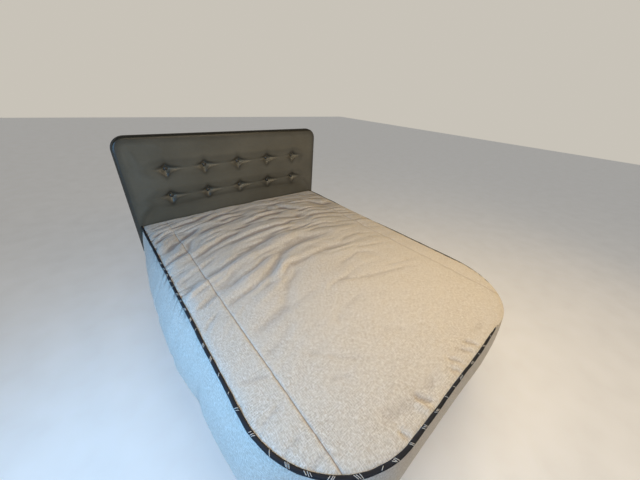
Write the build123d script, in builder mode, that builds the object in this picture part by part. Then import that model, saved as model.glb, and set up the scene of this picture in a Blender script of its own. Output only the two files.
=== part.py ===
"""Motorhome island bed: storage base, lift-up deck on gas struts, mattress, bedspread, tufted headboard.

Millimetres. X runs across the bed, +Y points to the head, Z is up and 0 is the floor.
The origin is under the middle of the whole bed.
"""
import math
import os

from build123d import *

# Driving dimensions of the mattress and its cover
MATTRESS_WIDTH = 1524.0
MATTRESS_LENGTH = 1979.0
MATTRESS_HEIGHT = 215.0
MATTRESS_CORNER_R = 372.0
MATTRESS_HEAD_GAP = 3.0
MATTRESS_FOLD_GAP = 2.0
SOFT_GAP = 0.3
CLOTH = 4.0
COVER_MARGIN = 2.5
PIPING_R = 5.5
CORD_SIDES = 8
PIPING_MARGIN = 8.3
SKIRT_HEM_Z = 300.0
SKIRT_TOP_MARGIN = 8.0
SKIRT_SIDE_REACH = 90.0
SKIRT_FOOT_REACH = 32.0
SKIRT_SHOULDER = (0.35, 0.63)
COVER_HEAD_GAP = 4.0

# Driving dimensions of the storage base and the deck
BASE_INSET = 72.0
BASE_HEIGHT = 405.0
PANEL = 15.0
DECK = 18.0
FIXED_DECK_LENGTH = 552.0
FLOOR_CLEAT = (30.0, 26.0)
DECK_CLEAT = (22.0, 34.0)
BATTEN = (34.0, 40.0)
BATTEN_X = 480.0
BATTEN_HEAD_SETBACK = 60.0
BATTEN_FOOT_SETBACK = 130.0
SCREW_R = 3.25
FLOOR_SCREW_SPACING_Y = 900.0
STRAP = (40.0, 2.5)
STRAP_TURN_INSET = 20.0
STRAP_HELD = 40.0
STRAP_HANG = (8.0, 70.0)

# Driving dimensions of the headboard
HEADBOARD_WIDTH = 1603.0
HEADBOARD_TOP_Z = 1247.0
HEADBOARD_CORNER_R = 85.0
PAD = 38.0
BOARD = 12.0
UPRIGHT = (70.0, 20.0)
UPRIGHT_TOP_Z = 1180.0
UPRIGHT_SPACING = 900.0
WALL_SCREW_R = 3.5
WALL_SCREW_Z = (560.0, 1060.0)
PAD_EDGE_R = 16.0
WELT_R = 3.0
BUTTON_R = 11.0
BUTTON_HEIGHT = 7.0
BUTTON_CHAMFER = 3.5
BUTTON_SIDES = 12
BUTTON_SINK = 1.0
BUTTON_SPACING = (267.0, 198.0)
BUTTON_TOP_ROW_BELOW_TOP = 219.0
TUFT_R = 46.0
TUFT_FLOOR_R = 14.0
TUFT_DEPTH = 15.0
ROUND_SIDES = 16

# Driving dimensions of the continuous hinge and the gas struts
KNUCKLE_R = 5.0
KNUCKLE_SIDES = 12
KNUCKLE_BORE_R = 2.6
HINGE_PIN_R = 2.5
LEAF = 1.5
LEAF_WIDTH = 22.0
HINGE_GAP = 6.0
KNUCKLE_COUNT = 7
KNUCKLE_PITCH = 193.0
KNUCKLE_END_GAP = 1.0
STRUT_BASE_PIN = (-170.0, -240.0)
STRUT_DECK_PIN = (-300.0, -38.0)
STRUT_X = 640.0
STRUT_EYE_R = 10.0
STRUT_EYE_WIDTH = 12.0
STRUT_NECK_R = 5.0
STUD_R = 4.0
STUD_BORE_R = 4.05
STUD_CAP = (8.0, 2.0)
STUD_END_PLAY = 1.0
LOOSE_EYE_BORE_R = 6.7
BRACKET_PLATE = 3.0
BRACKET_BASE = (48.0, 64.0)
BRACKET_TAB_GAP = 6.0
BRACKET_TAB_R = 13.0
BRACKET_FOOT = (34.0, 74.0)
CYLINDER_R = 11.0
CYLINDER_BORE_R = 9.5
CYLINDER_SPAN = (16.0, 200.0)
CYLINDER_END = 7.0
ROD_R = 5.0
ROD_CLEARANCE = 0.3
PISTON_START = 24.0
PISTON = 6.0

# Places that follow from the driving dimensions
half_width = MATTRESS_WIDTH / 2
back_depth = PAD + BOARD + UPRIGHT[1]
total_length = MATTRESS_HEAD_GAP + MATTRESS_LENGTH + SKIRT_FOOT_REACH + back_depth
head_y = total_length / 2 - back_depth
mattress_head_y = head_y - MATTRESS_HEAD_GAP
foot_y = mattress_head_y - MATTRESS_LENGTH
deck_z = BASE_HEIGHT + DECK
mattress_top_z = deck_z + SOFT_GAP + MATTRESS_HEIGHT
hinge_y = head_y - FIXED_DECK_LENGTH
hinge_z = deck_z - KNUCKLE_R
board_back_y = head_y + PAD + BOARD
base_half = half_width - BASE_INSET
base_foot_y = foot_y + BASE_INSET
base_corner_r = MATTRESS_CORNER_R - BASE_INSET
base_head_y = board_back_y
corner_y = base_foot_y + base_corner_r
SIDES = {"left": -1, "right": 1}
ON_BASE = (Align.CENTER, Align.CENTER, Align.MIN)

os.makedirs("parts", exist_ok=True)


def save(builder, node):
    """Label a finished piece and write it as its own STEP file."""
    builder.part.label = node
    export_step(builder.part, f"parts/{node}.step")


def bed_outline(margin, head_end, foot_margin=None):
    """Plan of the bed grown by margin, square at head_end and rounded at the foot."""
    if foot_margin is None:
        foot_margin = margin
    foot_end = foot_y - foot_margin
    with BuildSketch() as outline:
        with Locations((0, (head_end + foot_end) / 2)):
            Rectangle(2 * (half_width + margin), head_end - foot_end)
        corner_r = MATTRESS_CORNER_R + (margin + foot_margin) / 2
        fillet(outline.vertices().group_by(Axis.Y)[0], corner_r)
    return outline.sketch


def panel(node, x_span, y_span, z_span):
    """Flat rectangular board between three pairs of limits."""
    with BuildPart() as board:
        with BuildSketch(Plane.XY.offset(z_span[0])):
            with Locations(((x_span[0] + x_span[1]) / 2, (y_span[0] + y_span[1]) / 2)):
                Rectangle(x_span[1] - x_span[0], y_span[1] - y_span[0])
        extrude(amount=z_span[1] - z_span[0])
    save(board, node)


def mirrored(side, near, far):
    """Limits along X of something between near and far from the middle, on one side."""
    return tuple(sorted((side * near, side * far)))


# Storage base: side panels, bent corners, foot, head and divider panels
for name, side in SIDES.items():
    inner = base_half - PANEL
    panel(f"base_side_{name}", mirrored(side, inner, base_half), (corner_y, base_head_y), (0, BASE_HEIGHT))

    with BuildPart() as base_corner:
        with BuildSketch():
            with Locations((side * (base_half - base_corner_r), corner_y)):
                Circle(base_corner_r)
                Circle(base_corner_r - PANEL, mode=Mode.SUBTRACT)
            with Locations((side * (base_half - base_corner_r / 2), corner_y - base_corner_r / 2)):
                Rectangle(base_corner_r, base_corner_r, mode=Mode.INTERSECT)
        extrude(amount=BASE_HEIGHT)
    save(base_corner, f"base_corner_{name}")

corner_start_x = base_half - base_corner_r
inner_x = base_half - PANEL
divider_y = hinge_y + HINGE_GAP
panel(
    "base_foot_panel",
    (-corner_start_x, corner_start_x),
    (base_foot_y, base_foot_y + PANEL),
    (0, BASE_HEIGHT),
)
panel("base_head_panel", (-inner_x, inner_x), (base_head_y - PANEL, base_head_y), (0, BASE_HEIGHT))
panel("base_divider", (-inner_x, inner_x), (divider_y, divider_y + PANEL), (0, BASE_HEIGHT))

# Cleats: timber strips that hold the fixed deck, and strips screwed down to the floor
floor_screw_y = (corner_y + divider_y) / 2
for name, side in SIDES.items():
    panel(
        f"deck_cleat_{name}",
        mirrored(side, inner_x - DECK_CLEAT[0], inner_x),
        (divider_y + PANEL, base_head_y - PANEL),
        (BASE_HEIGHT - DECK_CLEAT[1], BASE_HEIGHT),
    )
    cleat_x = side * (inner_x - FLOOR_CLEAT[0] / 2)
    with BuildPart() as floor_cleat:
        with BuildSketch():
            with Locations((cleat_x, (corner_y + divider_y) / 2)):
                Rectangle(FLOOR_CLEAT[0], divider_y - corner_y)
            with Locations((cleat_x, floor_screw_y)):
                with GridLocations(1, FLOOR_SCREW_SPACING_Y, 1, 2):
                    Circle(SCREW_R, mode=Mode.SUBTRACT)
        extrude(amount=FLOOR_CLEAT[1])
    save(floor_cleat, f"floor_cleat_{name}")

# Deck: a fixed part under the head and a lifting part with rounded foot corners
leaf_edge = HINGE_GAP + LEAF_WIDTH
hinge_length = KNUCKLE_COUNT * KNUCKLE_PITCH
with BuildPart() as fixed_deck:
    with BuildSketch(Plane.XY.offset(BASE_HEIGHT)):
        with Locations((0, (hinge_y + HINGE_GAP + board_back_y) / 2)):
            Rectangle(MATTRESS_WIDTH, board_back_y - hinge_y - HINGE_GAP)
    extrude(amount=DECK)
    with BuildSketch(Plane.XY.offset(deck_z)):
        with Locations((0, hinge_y + leaf_edge / 2)):
            Rectangle(hinge_length, leaf_edge)
    extrude(amount=-LEAF, mode=Mode.SUBTRACT)
save(fixed_deck, "deck_fixed")

lift_outline = bed_outline(0, hinge_y - HINGE_GAP)
with BuildPart() as lift_deck:
    with BuildSketch(Plane.XY.offset(BASE_HEIGHT)):
        add(lift_outline)
    extrude(amount=DECK)
    with BuildSketch(Plane.XY.offset(deck_z)):
        with Locations((0, hinge_y - leaf_edge / 2)):
            Rectangle(hinge_length, leaf_edge)
    extrude(amount=-LEAF, mode=Mode.SUBTRACT)
save(lift_deck, "deck_lift")

batten_half = BATTEN[0] / 2
batten_head_y = hinge_y - BATTEN_HEAD_SETBACK
batten_foot_y = base_foot_y + BATTEN_FOOT_SETBACK
batten_z = (BASE_HEIGHT - BATTEN[1], BASE_HEIGHT)
cross_battens = {
    "foot": batten_foot_y + batten_half,
    "middle": (batten_head_y + batten_foot_y) / 2,
}
for name, side in SIDES.items():
    near, far = BATTEN_X - batten_half, BATTEN_X + batten_half
    panel(f"deck_batten_{name}", mirrored(side, near, far), (batten_foot_y, batten_head_y), batten_z)
for name, y in cross_battens.items():
    reach = BATTEN_X - batten_half
    panel(f"deck_batten_{name}", (-reach, reach), (y - batten_half, y + batten_half), batten_z)

# Continuous hinge: knuckles of the two leaves alternate on one pin
hinge_plane = Plane(origin=(0, hinge_y, hinge_z), x_dir=(0, 1, 0), z_dir=(1, 0, 0))
LEAVES = {"hinge_leaf_fixed": (1, 0), "hinge_leaf_lift": (-1, 1)}
for node, (direction, first) in LEAVES.items():
    knuckle_x = [
        (i - (KNUCKLE_COUNT - 1) / 2) * KNUCKLE_PITCH for i in range(first, KNUCKLE_COUNT, 2)
    ]
    knuckle_length = KNUCKLE_PITCH - KNUCKLE_END_GAP
    with BuildPart() as leaf:
        with BuildSketch(Plane.XY.offset(deck_z)):
            with Locations((0, hinge_y + direction * (HINGE_GAP + LEAF_WIDTH / 2))):
                Rectangle(hinge_length, LEAF_WIDTH)
            with Locations(*[(x, hinge_y + direction * HINGE_GAP / 2) for x in knuckle_x]):
                Rectangle(knuckle_length, HINGE_GAP)
        extrude(amount=-LEAF)
        for x in knuckle_x:
            with BuildSketch(hinge_plane.offset(x - knuckle_length / 2)):
                RegularPolygon(KNUCKLE_R, KNUCKLE_SIDES)
            extrude(amount=knuckle_length)
        with BuildSketch(hinge_plane.offset(-hinge_length / 2)):
            Circle(KNUCKLE_BORE_R)
        extrude(amount=hinge_length, mode=Mode.SUBTRACT)
    save(leaf, node)

with BuildPart() as hinge_pin:
    with BuildSketch(hinge_plane.offset(-hinge_length / 2)):
        Circle(HINGE_PIN_R)
    extrude(amount=hinge_length)
save(hinge_pin, "hinge_pin")

# Gas struts: pin brackets, cylinders and rods, one set inside each side panel
base_pin = (hinge_y + STRUT_BASE_PIN[0], hinge_z + STRUT_BASE_PIN[1])
deck_pin = (hinge_y + STRUT_DECK_PIN[0], hinge_z + STRUT_DECK_PIN[1])
strut_length = math.dist(base_pin, deck_pin)
strut_dir = ((deck_pin[0] - base_pin[0]) / strut_length, (deck_pin[1] - base_pin[1]) / strut_length)
eye_half = STRUT_EYE_WIDTH / 2
tab_x = STRUT_X + eye_half + BRACKET_TAB_GAP
cap_r, cap = STUD_CAP
collar_x = STRUT_X + eye_half + STUD_END_PLAY
stud_end_x = STRUT_X - eye_half - STUD_END_PLAY - cap
across = Plane(origin=(0, 0, 0), x_dir=(0, 1, 0), z_dir=(1, 0, 0))
for name, side in SIDES.items():
    with BuildPart() as base_bracket:
        with BuildSketch(across.offset(side * inner_x)):
            with Locations(base_pin):
                Rectangle(*BRACKET_BASE)
        extrude(amount=-side * BRACKET_PLATE)
        with BuildSketch(across.offset(side * inner_x)):
            with Locations(base_pin):
                Circle(STUD_R)
        extrude(amount=-side * (inner_x - stud_end_x))
        with BuildSketch(across.offset(side * stud_end_x)):
            with Locations(base_pin):
                RegularPolygon(cap_r, ROUND_SIDES)
        extrude(amount=side * cap)
        with BuildSketch(across.offset(side * collar_x)):
            with Locations(base_pin):
                RegularPolygon(cap_r, ROUND_SIDES)
        extrude(amount=side * (inner_x - collar_x))
    save(base_bracket, f"strut_bracket_base_{name}")

    with BuildPart() as deck_bracket:
        with BuildSketch(across.offset(side * tab_x)):
            with Locations(deck_pin):
                Circle(BRACKET_TAB_R)
            with Locations((deck_pin[0], (deck_pin[1] + BASE_HEIGHT) / 2)):
                Rectangle(2 * BRACKET_TAB_R, BASE_HEIGHT - deck_pin[1])
        extrude(amount=side * BRACKET_PLATE)
        with BuildSketch(Plane.XY.offset(BASE_HEIGHT - BRACKET_PLATE)):
            with Locations((side * (tab_x + BRACKET_PLATE - BRACKET_FOOT[0] / 2), deck_pin[0])):
                Rectangle(*BRACKET_FOOT)
        extrude(amount=BRACKET_PLATE)
        with BuildSketch(across.offset(side * tab_x)):
            with Locations(deck_pin):
                Circle(STUD_R)
        extrude(amount=-side * (tab_x - stud_end_x))
        with BuildSketch(across.offset(side * stud_end_x)):
            with Locations(deck_pin):
                RegularPolygon(cap_r, ROUND_SIDES)
        extrude(amount=side * cap)
    save(deck_bracket, f"strut_bracket_deck_{name}")

    along = Plane(
        origin=(side * STRUT_X, *base_pin),
        x_dir=(1, 0, 0),
        z_dir=(0, *strut_dir),
    )
    eye_plane = across.offset(side * STRUT_X - eye_half)
    with BuildPart() as cylinder:
        with BuildSketch(along.offset(CYLINDER_SPAN[0])):
            Circle(CYLINDER_R)
        extrude(amount=CYLINDER_SPAN[1] - CYLINDER_SPAN[0])
        with BuildSketch(along):
            RegularPolygon(STRUT_NECK_R, ROUND_SIDES)
        extrude(amount=CYLINDER_SPAN[0])
        with BuildSketch(eye_plane):
            with Locations(base_pin):
                RegularPolygon(STRUT_EYE_R, ROUND_SIDES)
        extrude(amount=STRUT_EYE_WIDTH)
        with BuildSketch(along.offset(PISTON_START - PISTON)):
            RegularPolygon(CYLINDER_BORE_R, ROUND_SIDES)
        extrude(amount=CYLINDER_SPAN[1] - CYLINDER_END - PISTON_START + PISTON, mode=Mode.SUBTRACT)
        with BuildSketch(along.offset(PISTON_START)):
            Circle(ROD_R + ROD_CLEARANCE)
        extrude(amount=CYLINDER_SPAN[1] - PISTON_START, mode=Mode.SUBTRACT)
        with BuildSketch(eye_plane):
            with Locations(base_pin):
                Circle(STUD_BORE_R)
        extrude(amount=STRUT_EYE_WIDTH, mode=Mode.SUBTRACT)
    save(cylinder, f"strut_cylinder_{name}")

    with BuildPart() as rod:
        with BuildSketch(along.offset(PISTON_START)):
            Circle(ROD_R)
        extrude(amount=strut_length - PISTON_START)
        with BuildSketch(along.offset(PISTON_START)):
            RegularPolygon(CYLINDER_BORE_R - ROD_CLEARANCE, ROUND_SIDES)
        extrude(amount=PISTON)
        with BuildSketch(eye_plane):
            with Locations(deck_pin):
                RegularPolygon(STRUT_EYE_R, ROUND_SIDES)
        extrude(amount=STRUT_EYE_WIDTH)
        with BuildSketch(eye_plane):
            with Locations(deck_pin):
                Circle(LOOSE_EYE_BORE_R)
        extrude(amount=STRUT_EYE_WIDTH, mode=Mode.SUBTRACT)
    save(rod, f"strut_rod_{name}")

# Headboard: uprights on the wall, plywood board, padded front, buttons and edge welt
for name, side in SIDES.items():
    with BuildPart() as upright:
        with BuildSketch(Plane.XZ.offset(-board_back_y)):
            with Locations((side * UPRIGHT_SPACING / 2, UPRIGHT_TOP_Z / 2)):
                Rectangle(UPRIGHT[0], UPRIGHT_TOP_Z)
            with Locations(*[(side * UPRIGHT_SPACING / 2, z) for z in WALL_SCREW_Z]):
                Circle(WALL_SCREW_R, mode=Mode.SUBTRACT)
        extrude(amount=-UPRIGHT[1])
    save(upright, f"headboard_upright_{name}")


def headboard_outline(margin):
    """Front outline of the headboard shrunk by margin, rounded at its top corners."""
    top_z = HEADBOARD_TOP_Z - margin
    bottom_z = deck_z + margin
    with BuildSketch(Plane.XZ) as outline:
        with Locations((0, (top_z + bottom_z) / 2)):
            Rectangle(HEADBOARD_WIDTH - 2 * margin, top_z - bottom_z)
        fillet(outline.vertices().group_by(Axis.Z)[-1], HEADBOARD_CORNER_R - margin)
    return outline.sketch_local


board_front = headboard_outline(2 * WELT_R)
pad_front = headboard_outline(0)
with BuildPart() as headboard_board:
    with BuildSketch(Plane.XZ.offset(-board_back_y)):
        add(board_front)
    extrude(amount=BOARD)
save(headboard_board, "headboard_board")

button_top_z = HEADBOARD_TOP_Z - BUTTON_TOP_ROW_BELOW_TOP
button_mid_z = button_top_z - BUTTON_SPACING[1] / 2
front = Plane.XZ.offset(-head_y)
tufts = Plane(origin=(0, head_y, button_mid_z), x_dir=(1, 0, 0), z_dir=(0, -1, 0))
with BuildPart() as pad:
    with BuildSketch(front):
        add(pad_front)
    extrude(amount=-PAD)
    fillet(pad.faces().sort_by(Axis.Y)[0].edges(), PAD_EDGE_R)
    with Locations(tufts.offset(-TUFT_DEPTH)):
        with GridLocations(*BUTTON_SPACING, 5, 2):
            Cone(TUFT_FLOOR_R, TUFT_R, TUFT_DEPTH, align=ON_BASE, mode=Mode.SUBTRACT)
save(pad, "headboard_pad")

with BuildPart() as button:
    with BuildSketch():
        RegularPolygon(BUTTON_R, BUTTON_SIDES)
    extrude(amount=BUTTON_HEIGHT)
    chamfer(button.faces().sort_by(Axis.Z)[-1].edges(), BUTTON_CHAMFER)

with BuildPart() as buttons:
    with Locations(tufts.offset(BUTTON_SINK - TUFT_DEPTH)):
        with GridLocations(*BUTTON_SPACING, 5, 2):
            add(button.part)
save(buttons, "headboard_buttons")

welt_x = HEADBOARD_WIDTH / 2 - WELT_R
welt_top = HEADBOARD_TOP_Z - WELT_R
welt_y = head_y + PAD + WELT_R
with BuildPart() as welt:
    with BuildLine(Plane.XZ.offset(-welt_y)) as welt_path:
        FilletPolyline(
            (-welt_x, deck_z), (-welt_x, welt_top), (welt_x, welt_top), (welt_x, deck_z),
            radius=HEADBOARD_CORNER_R - WELT_R,
        )
    with BuildSketch(Plane(origin=(-welt_x, welt_y, deck_z), z_dir=(0, 0, 1))):
        RegularPolygon(WELT_R, CORD_SIDES)
    sweep(path=welt_path.wires()[0])
save(welt, "headboard_welt")

# Soft goods: mattress in a head and a foot part, bedspread top, skirt and piping
fold_y = hinge_y + MATTRESS_FOLD_GAP
with BuildPart() as mattress_head:
    with BuildSketch(Plane.XY.offset(deck_z + SOFT_GAP)):
        with Locations((0, (fold_y + mattress_head_y) / 2)):
            Rectangle(MATTRESS_WIDTH, mattress_head_y - fold_y)
    extrude(amount=MATTRESS_HEIGHT)
save(mattress_head, "mattress_head")

mattress_outline = bed_outline(0, hinge_y - SOFT_GAP)
with BuildPart() as mattress_foot:
    with BuildSketch(Plane.XY.offset(deck_z + SOFT_GAP)):
        add(mattress_outline)
    extrude(amount=MATTRESS_HEIGHT)
save(mattress_foot, "mattress_foot")

cover_head_y = head_y - COVER_HEAD_GAP
cover_outline = bed_outline(COVER_MARGIN, cover_head_y)
with BuildPart() as bedspread_top:
    with BuildSketch(Plane.XY.offset(mattress_top_z + SOFT_GAP)):
        add(cover_outline)
    extrude(amount=CLOTH)
save(bedspread_top, "bedspread_top")

piping_z = mattress_top_z + SOFT_GAP + CLOTH / 2
skirt_top_z = piping_z - PIPING_R - SOFT_GAP
skirt_head_y = head_y + SKIRT_TOP_MARGIN
shoulder_z = skirt_top_z - SKIRT_SHOULDER[0] * (skirt_top_z - SKIRT_HEM_Z)
skirt_levels = [(SKIRT_HEM_Z, 1.0), (shoulder_z, SKIRT_SHOULDER[1]), (skirt_top_z, 0.0)]


def skirt_form(inset, head_end):
    """Solid inside the skirt's cloth, widest at the hem, with its sides flared more than its foot."""
    with BuildPart() as form:
        for z, flare in skirt_levels:
            side_reach = SKIRT_TOP_MARGIN + flare * (SKIRT_SIDE_REACH - SKIRT_TOP_MARGIN) - inset
            foot_reach = SKIRT_TOP_MARGIN + flare * (SKIRT_FOOT_REACH - SKIRT_TOP_MARGIN) - inset
            section = bed_outline(side_reach, head_end, foot_reach)
            with BuildSketch(Plane.XY.offset(z)):
                add(section)
        loft(ruled=True)
    return form.part


skirt_outside = skirt_form(0, skirt_head_y)
skirt_inside = skirt_form(CLOTH, skirt_head_y + CLOTH)
with BuildPart() as skirt:
    add(skirt_outside)
    add(skirt_inside, mode=Mode.SUBTRACT)
    split(bisect_by=Plane.XZ.offset(-cover_head_y), keep=Keep.TOP)
save(skirt, "bedspread_skirt")

piping_x = half_width + PIPING_MARGIN
piping_foot_y = foot_y - PIPING_MARGIN
with BuildPart() as piping:
    with BuildLine(Plane.XY.offset(piping_z)) as piping_path:
        FilletPolyline(
            (-piping_x, cover_head_y),
            (-piping_x, piping_foot_y),
            (piping_x, piping_foot_y),
            (piping_x, cover_head_y),
            radius=MATTRESS_CORNER_R + PIPING_MARGIN,
        )
    with BuildSketch(Plane(origin=(-piping_x, cover_head_y, piping_z), z_dir=(0, -1, 0))):
        RegularPolygon(PIPING_R, CORD_SIDES)
    sweep(path=piping_path.wires()[0])
save(piping, "bedspread_piping")

# Pull strap: a webbing loop at the foot of the lifting deck
strap_width, strap = STRAP
strap_turn_y = foot_y + STRAP_TURN_INSET
strap_z = BASE_HEIGHT - strap / 2
with BuildPart() as lift_strap:
    with BuildSketch(Plane.YZ.offset(-strap_width / 2)):
        with BuildLine():
            line = Polyline(
                (strap_turn_y + STRAP_HELD, strap_z),
                (strap_turn_y, strap_z),
                (strap_turn_y - STRAP_HANG[0], BASE_HEIGHT - STRAP_HANG[1]),
            )
            offset(line, strap / 2)
        make_face()
    extrude(amount=strap_width)
save(lift_strap, "lift_strap")

print("row-frame y of the headboard front, hinge, foot:", head_y, hinge_y, foot_y)
print("hinge z, base pin, deck pin:", hinge_z, base_pin, deck_pin)
print("strut length and direction:", strut_length, strut_dir)
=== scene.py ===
"""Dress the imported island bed: bedspread, piping, skirt, mattress, tufted headboard, timber and fittings.

Metres, in the part's own frame: X runs across the bed, +Y to the headboard, Z up from the floor.
"""
import logging
import math
from collections.abc import Callable, Sequence
from dataclasses import dataclass, replace
from enum import Enum, IntEnum

import bmesh
import bpy
import numpy as np
from mathutils import Matrix, Vector


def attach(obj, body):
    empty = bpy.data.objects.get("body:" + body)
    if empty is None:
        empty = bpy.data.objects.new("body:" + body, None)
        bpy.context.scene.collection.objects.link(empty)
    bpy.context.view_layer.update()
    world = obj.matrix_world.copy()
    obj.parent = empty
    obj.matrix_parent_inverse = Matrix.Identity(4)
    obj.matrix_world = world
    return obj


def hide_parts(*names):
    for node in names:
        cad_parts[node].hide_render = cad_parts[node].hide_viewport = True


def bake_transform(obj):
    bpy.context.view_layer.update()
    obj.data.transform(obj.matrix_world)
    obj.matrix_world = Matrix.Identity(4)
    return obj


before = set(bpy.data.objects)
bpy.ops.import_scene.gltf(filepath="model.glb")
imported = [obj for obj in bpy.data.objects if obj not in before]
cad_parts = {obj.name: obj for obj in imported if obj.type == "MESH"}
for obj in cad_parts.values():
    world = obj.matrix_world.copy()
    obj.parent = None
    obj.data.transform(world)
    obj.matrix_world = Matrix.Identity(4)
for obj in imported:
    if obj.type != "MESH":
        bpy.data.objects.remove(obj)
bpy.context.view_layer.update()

LOG = logging.getLogger("bed")
Array = np.ndarray
Colour = tuple[float, float, float]
Point = tuple[float, float, float]
RELIEF_CELLS = 64
GRID_SAMPLES = 4000
GRID_CROWDING = 2.4
SMOOTHING = 0.6


class Seed(IntEnum):
    """Seeds of the random reliefs and draws, one for each use."""

    CREASE_SWAY = 3
    CREASE_WOBBLE = 4
    STITCHES = 8
    BROAD_CREASES = 11
    MIDDLE_CREASES = 12
    FINE_CREASES = 13
    SEAM_PUCKERS = 21
    GATHER_SWAY = 31
    GATHERS = 32
    EDGE_PUCKERS = 33
    SKIRT_WAVES = 41
    SKIRT_FOLDS = 42
    SKIRT_GATHERS = 43
    HEM = 44
    CORD_SWAY = 51
    CORD_SWAY_FINE = 52
    CORD_RISE = 53
    CORD_RISE_FINE = 54
    CORD_FILLING = 55
    BUTTON_ROWS = 61
    VINYL = 62
    WRAP_WIDTH = 71
    WRAP_PLEATS = 72


# ---------------------------------------------------------------- shaping helpers


def ease(value: Array, low: float, high: float) -> Array:
    """Go smoothly from 0 at low to 1 at high.

    Args:
        value: Numbers to ease.
        low: Where the result is still 0.
        high: Where the result has reached 1.

    Returns:
        The eased numbers.
    """
    t = np.clip((value - low) / (high - low), 0.0, 1.0)
    return t * t * (3.0 - 2.0 * t)


def ripple(x: Array, y: Array, seed: int) -> Array:
    """Smooth random relief between -1 and 1 with one hill or hollow for each unit of x and y.

    Args:
        x: First coordinate, in cells.
        y: Second coordinate, in cells.
        seed: Picks one relief among many.

    Returns:
        The relief at each point.
    """
    table = np.random.default_rng(seed).uniform(-1.0, 1.0, (RELIEF_CELLS, RELIEF_CELLS))
    column, row = np.floor(x).astype(int), np.floor(y).astype(int)
    fx, fy = x - column, y - row
    fx, fy = fx * fx * (3.0 - 2.0 * fx), fy * fy * (3.0 - 2.0 * fy)
    c0, c1, r0, r1 = (cell % RELIEF_CELLS for cell in (column, column + 1, row, row + 1))
    near = table[c0, r0] * (1.0 - fx) + table[c1, r0] * fx
    far = table[c0, r1] * (1.0 - fx) + table[c1, r1] * fx
    return near * (1.0 - fy) + far * fy


def wobble(way: Array, seed: int) -> Array:
    """Smooth random numbers between -1 and 1 along a line, with one rise or dip for each unit."""
    return ripple(way, way * 0, seed)


def smooth_line(points: Sequence[Sequence[float]], count: int) -> Array:
    """Run a smooth curve through a few points.

    Args:
        points: Points that the curve passes.
        count: Number of points on the curve that is returned.

    Returns:
        One row for each point of the curve.
    """
    known = np.array(points, float)
    padded = np.vstack([2 * known[0] - known[1], known, 2 * known[-1] - known[-2]])
    spot = np.linspace(0.0, len(known) - 1.0, count)
    index = np.minimum(spot.astype(int), len(known) - 2)
    t = (spot - index)[:, None]
    a, b, c, d = (padded[index + k] for k in range(4))
    return 0.5 * (2 * b + (c - a) * t + (2 * a - 5 * b + 4 * c - d) * t**2 + (3 * b - a - 3 * c + d) * t**3)


def finish_piece(name: str, bm: bmesh.types.BMesh, smooth: bool = True,
                 outward: bool = False) -> bpy.types.Object:
    """Turn a bmesh into an object in the scene.

    Args:
        name: Name of the new object.
        bm: Mesh to use, which is freed.
        smooth: Shade the faces smoothly.
        outward: Turn the faces of closed shells outwards.

    Returns:
        The new object.
    """
    if outward:
        bmesh.ops.recalc_face_normals(bm, faces=bm.faces)
    for face in bm.faces:
        face.smooth = smooth
    mesh = bpy.data.meshes.new(name)
    bm.to_mesh(mesh)
    bm.free()
    piece = bpy.data.objects.new(name, mesh)
    bpy.context.scene.collection.objects.link(piece)
    return piece


def unit_grid(columns: int, rows: int) -> bmesh.types.BMesh:
    """Make a flat grid from 0 to 1 both ways.

    Args:
        columns: Cells along X.
        rows: Cells along Y.

    Returns:
        The grid.
    """
    bm = bmesh.new()
    bmesh.ops.create_grid(bm, x_segments=columns, y_segments=rows, size=0.5)
    bmesh.ops.translate(bm, verts=bm.verts, vec=(0.5, 0.5, 0.0))
    return bm


def grid_lines(low: float, high: float, cell: float, dense: Sequence[tuple[float, float]]) -> Array:
    """Places of a grid's lines, closer together where the surface needs it.

    Args:
        low: First place.
        high: Last place.
        cell: Distance between lines elsewhere.
        dense: Pairs of a middle and a reach where the lines stand about three times as close.

    Returns:
        The places.
    """
    fine = np.linspace(low, high, GRID_SAMPLES)
    density = np.ones(fine.shape)
    for middle, reach in dense:
        density += GRID_CROWDING * np.exp(-(((fine - middle) / reach) ** 2))
    lines = np.concatenate([[0.0], np.cumsum((density[1:] + density[:-1]) / 2)]) * (fine[1] - fine[0])
    return np.interp(np.linspace(0.0, lines[-1], round(lines[-1] / cell)), lines, fine)


def line_at(lines: Array, share: Array) -> Array:
    """Place of the grid line that lies at each share, from 0 to 1, of all the lines."""
    return lines[np.rint(share * (len(lines) - 1)).astype(int)]


def mould(bm: bmesh.types.BMesh, shape: Callable[[Array, Array], tuple[Array, Array, Array]],
          flat: Callable[[Array, Array], tuple[Array, Array]] | None = None) -> None:
    """Move a unit grid's points onto a surface.

    Args:
        bm: Unit grid to move.
        shape: Gives x, y and z for the grid's own coordinates.
        flat: Gives the cloth's flat coordinates in metres, kept as the UV map "cloth".
    """
    bm.verts.index_update()
    grid = np.array([vert.co[:2] for vert in bm.verts])
    for vert, point in zip(bm.verts, np.column_stack(shape(grid[:, 0], grid[:, 1]))):
        vert.co = point
    if flat is not None:
        layer = bm.loops.layers.uv.new("cloth")
        where = np.column_stack(flat(grid[:, 0], grid[:, 1]))
        for face in bm.faces:
            for loop in face.loops:
                loop[layer].uv = where[loop.vert.index]


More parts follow.
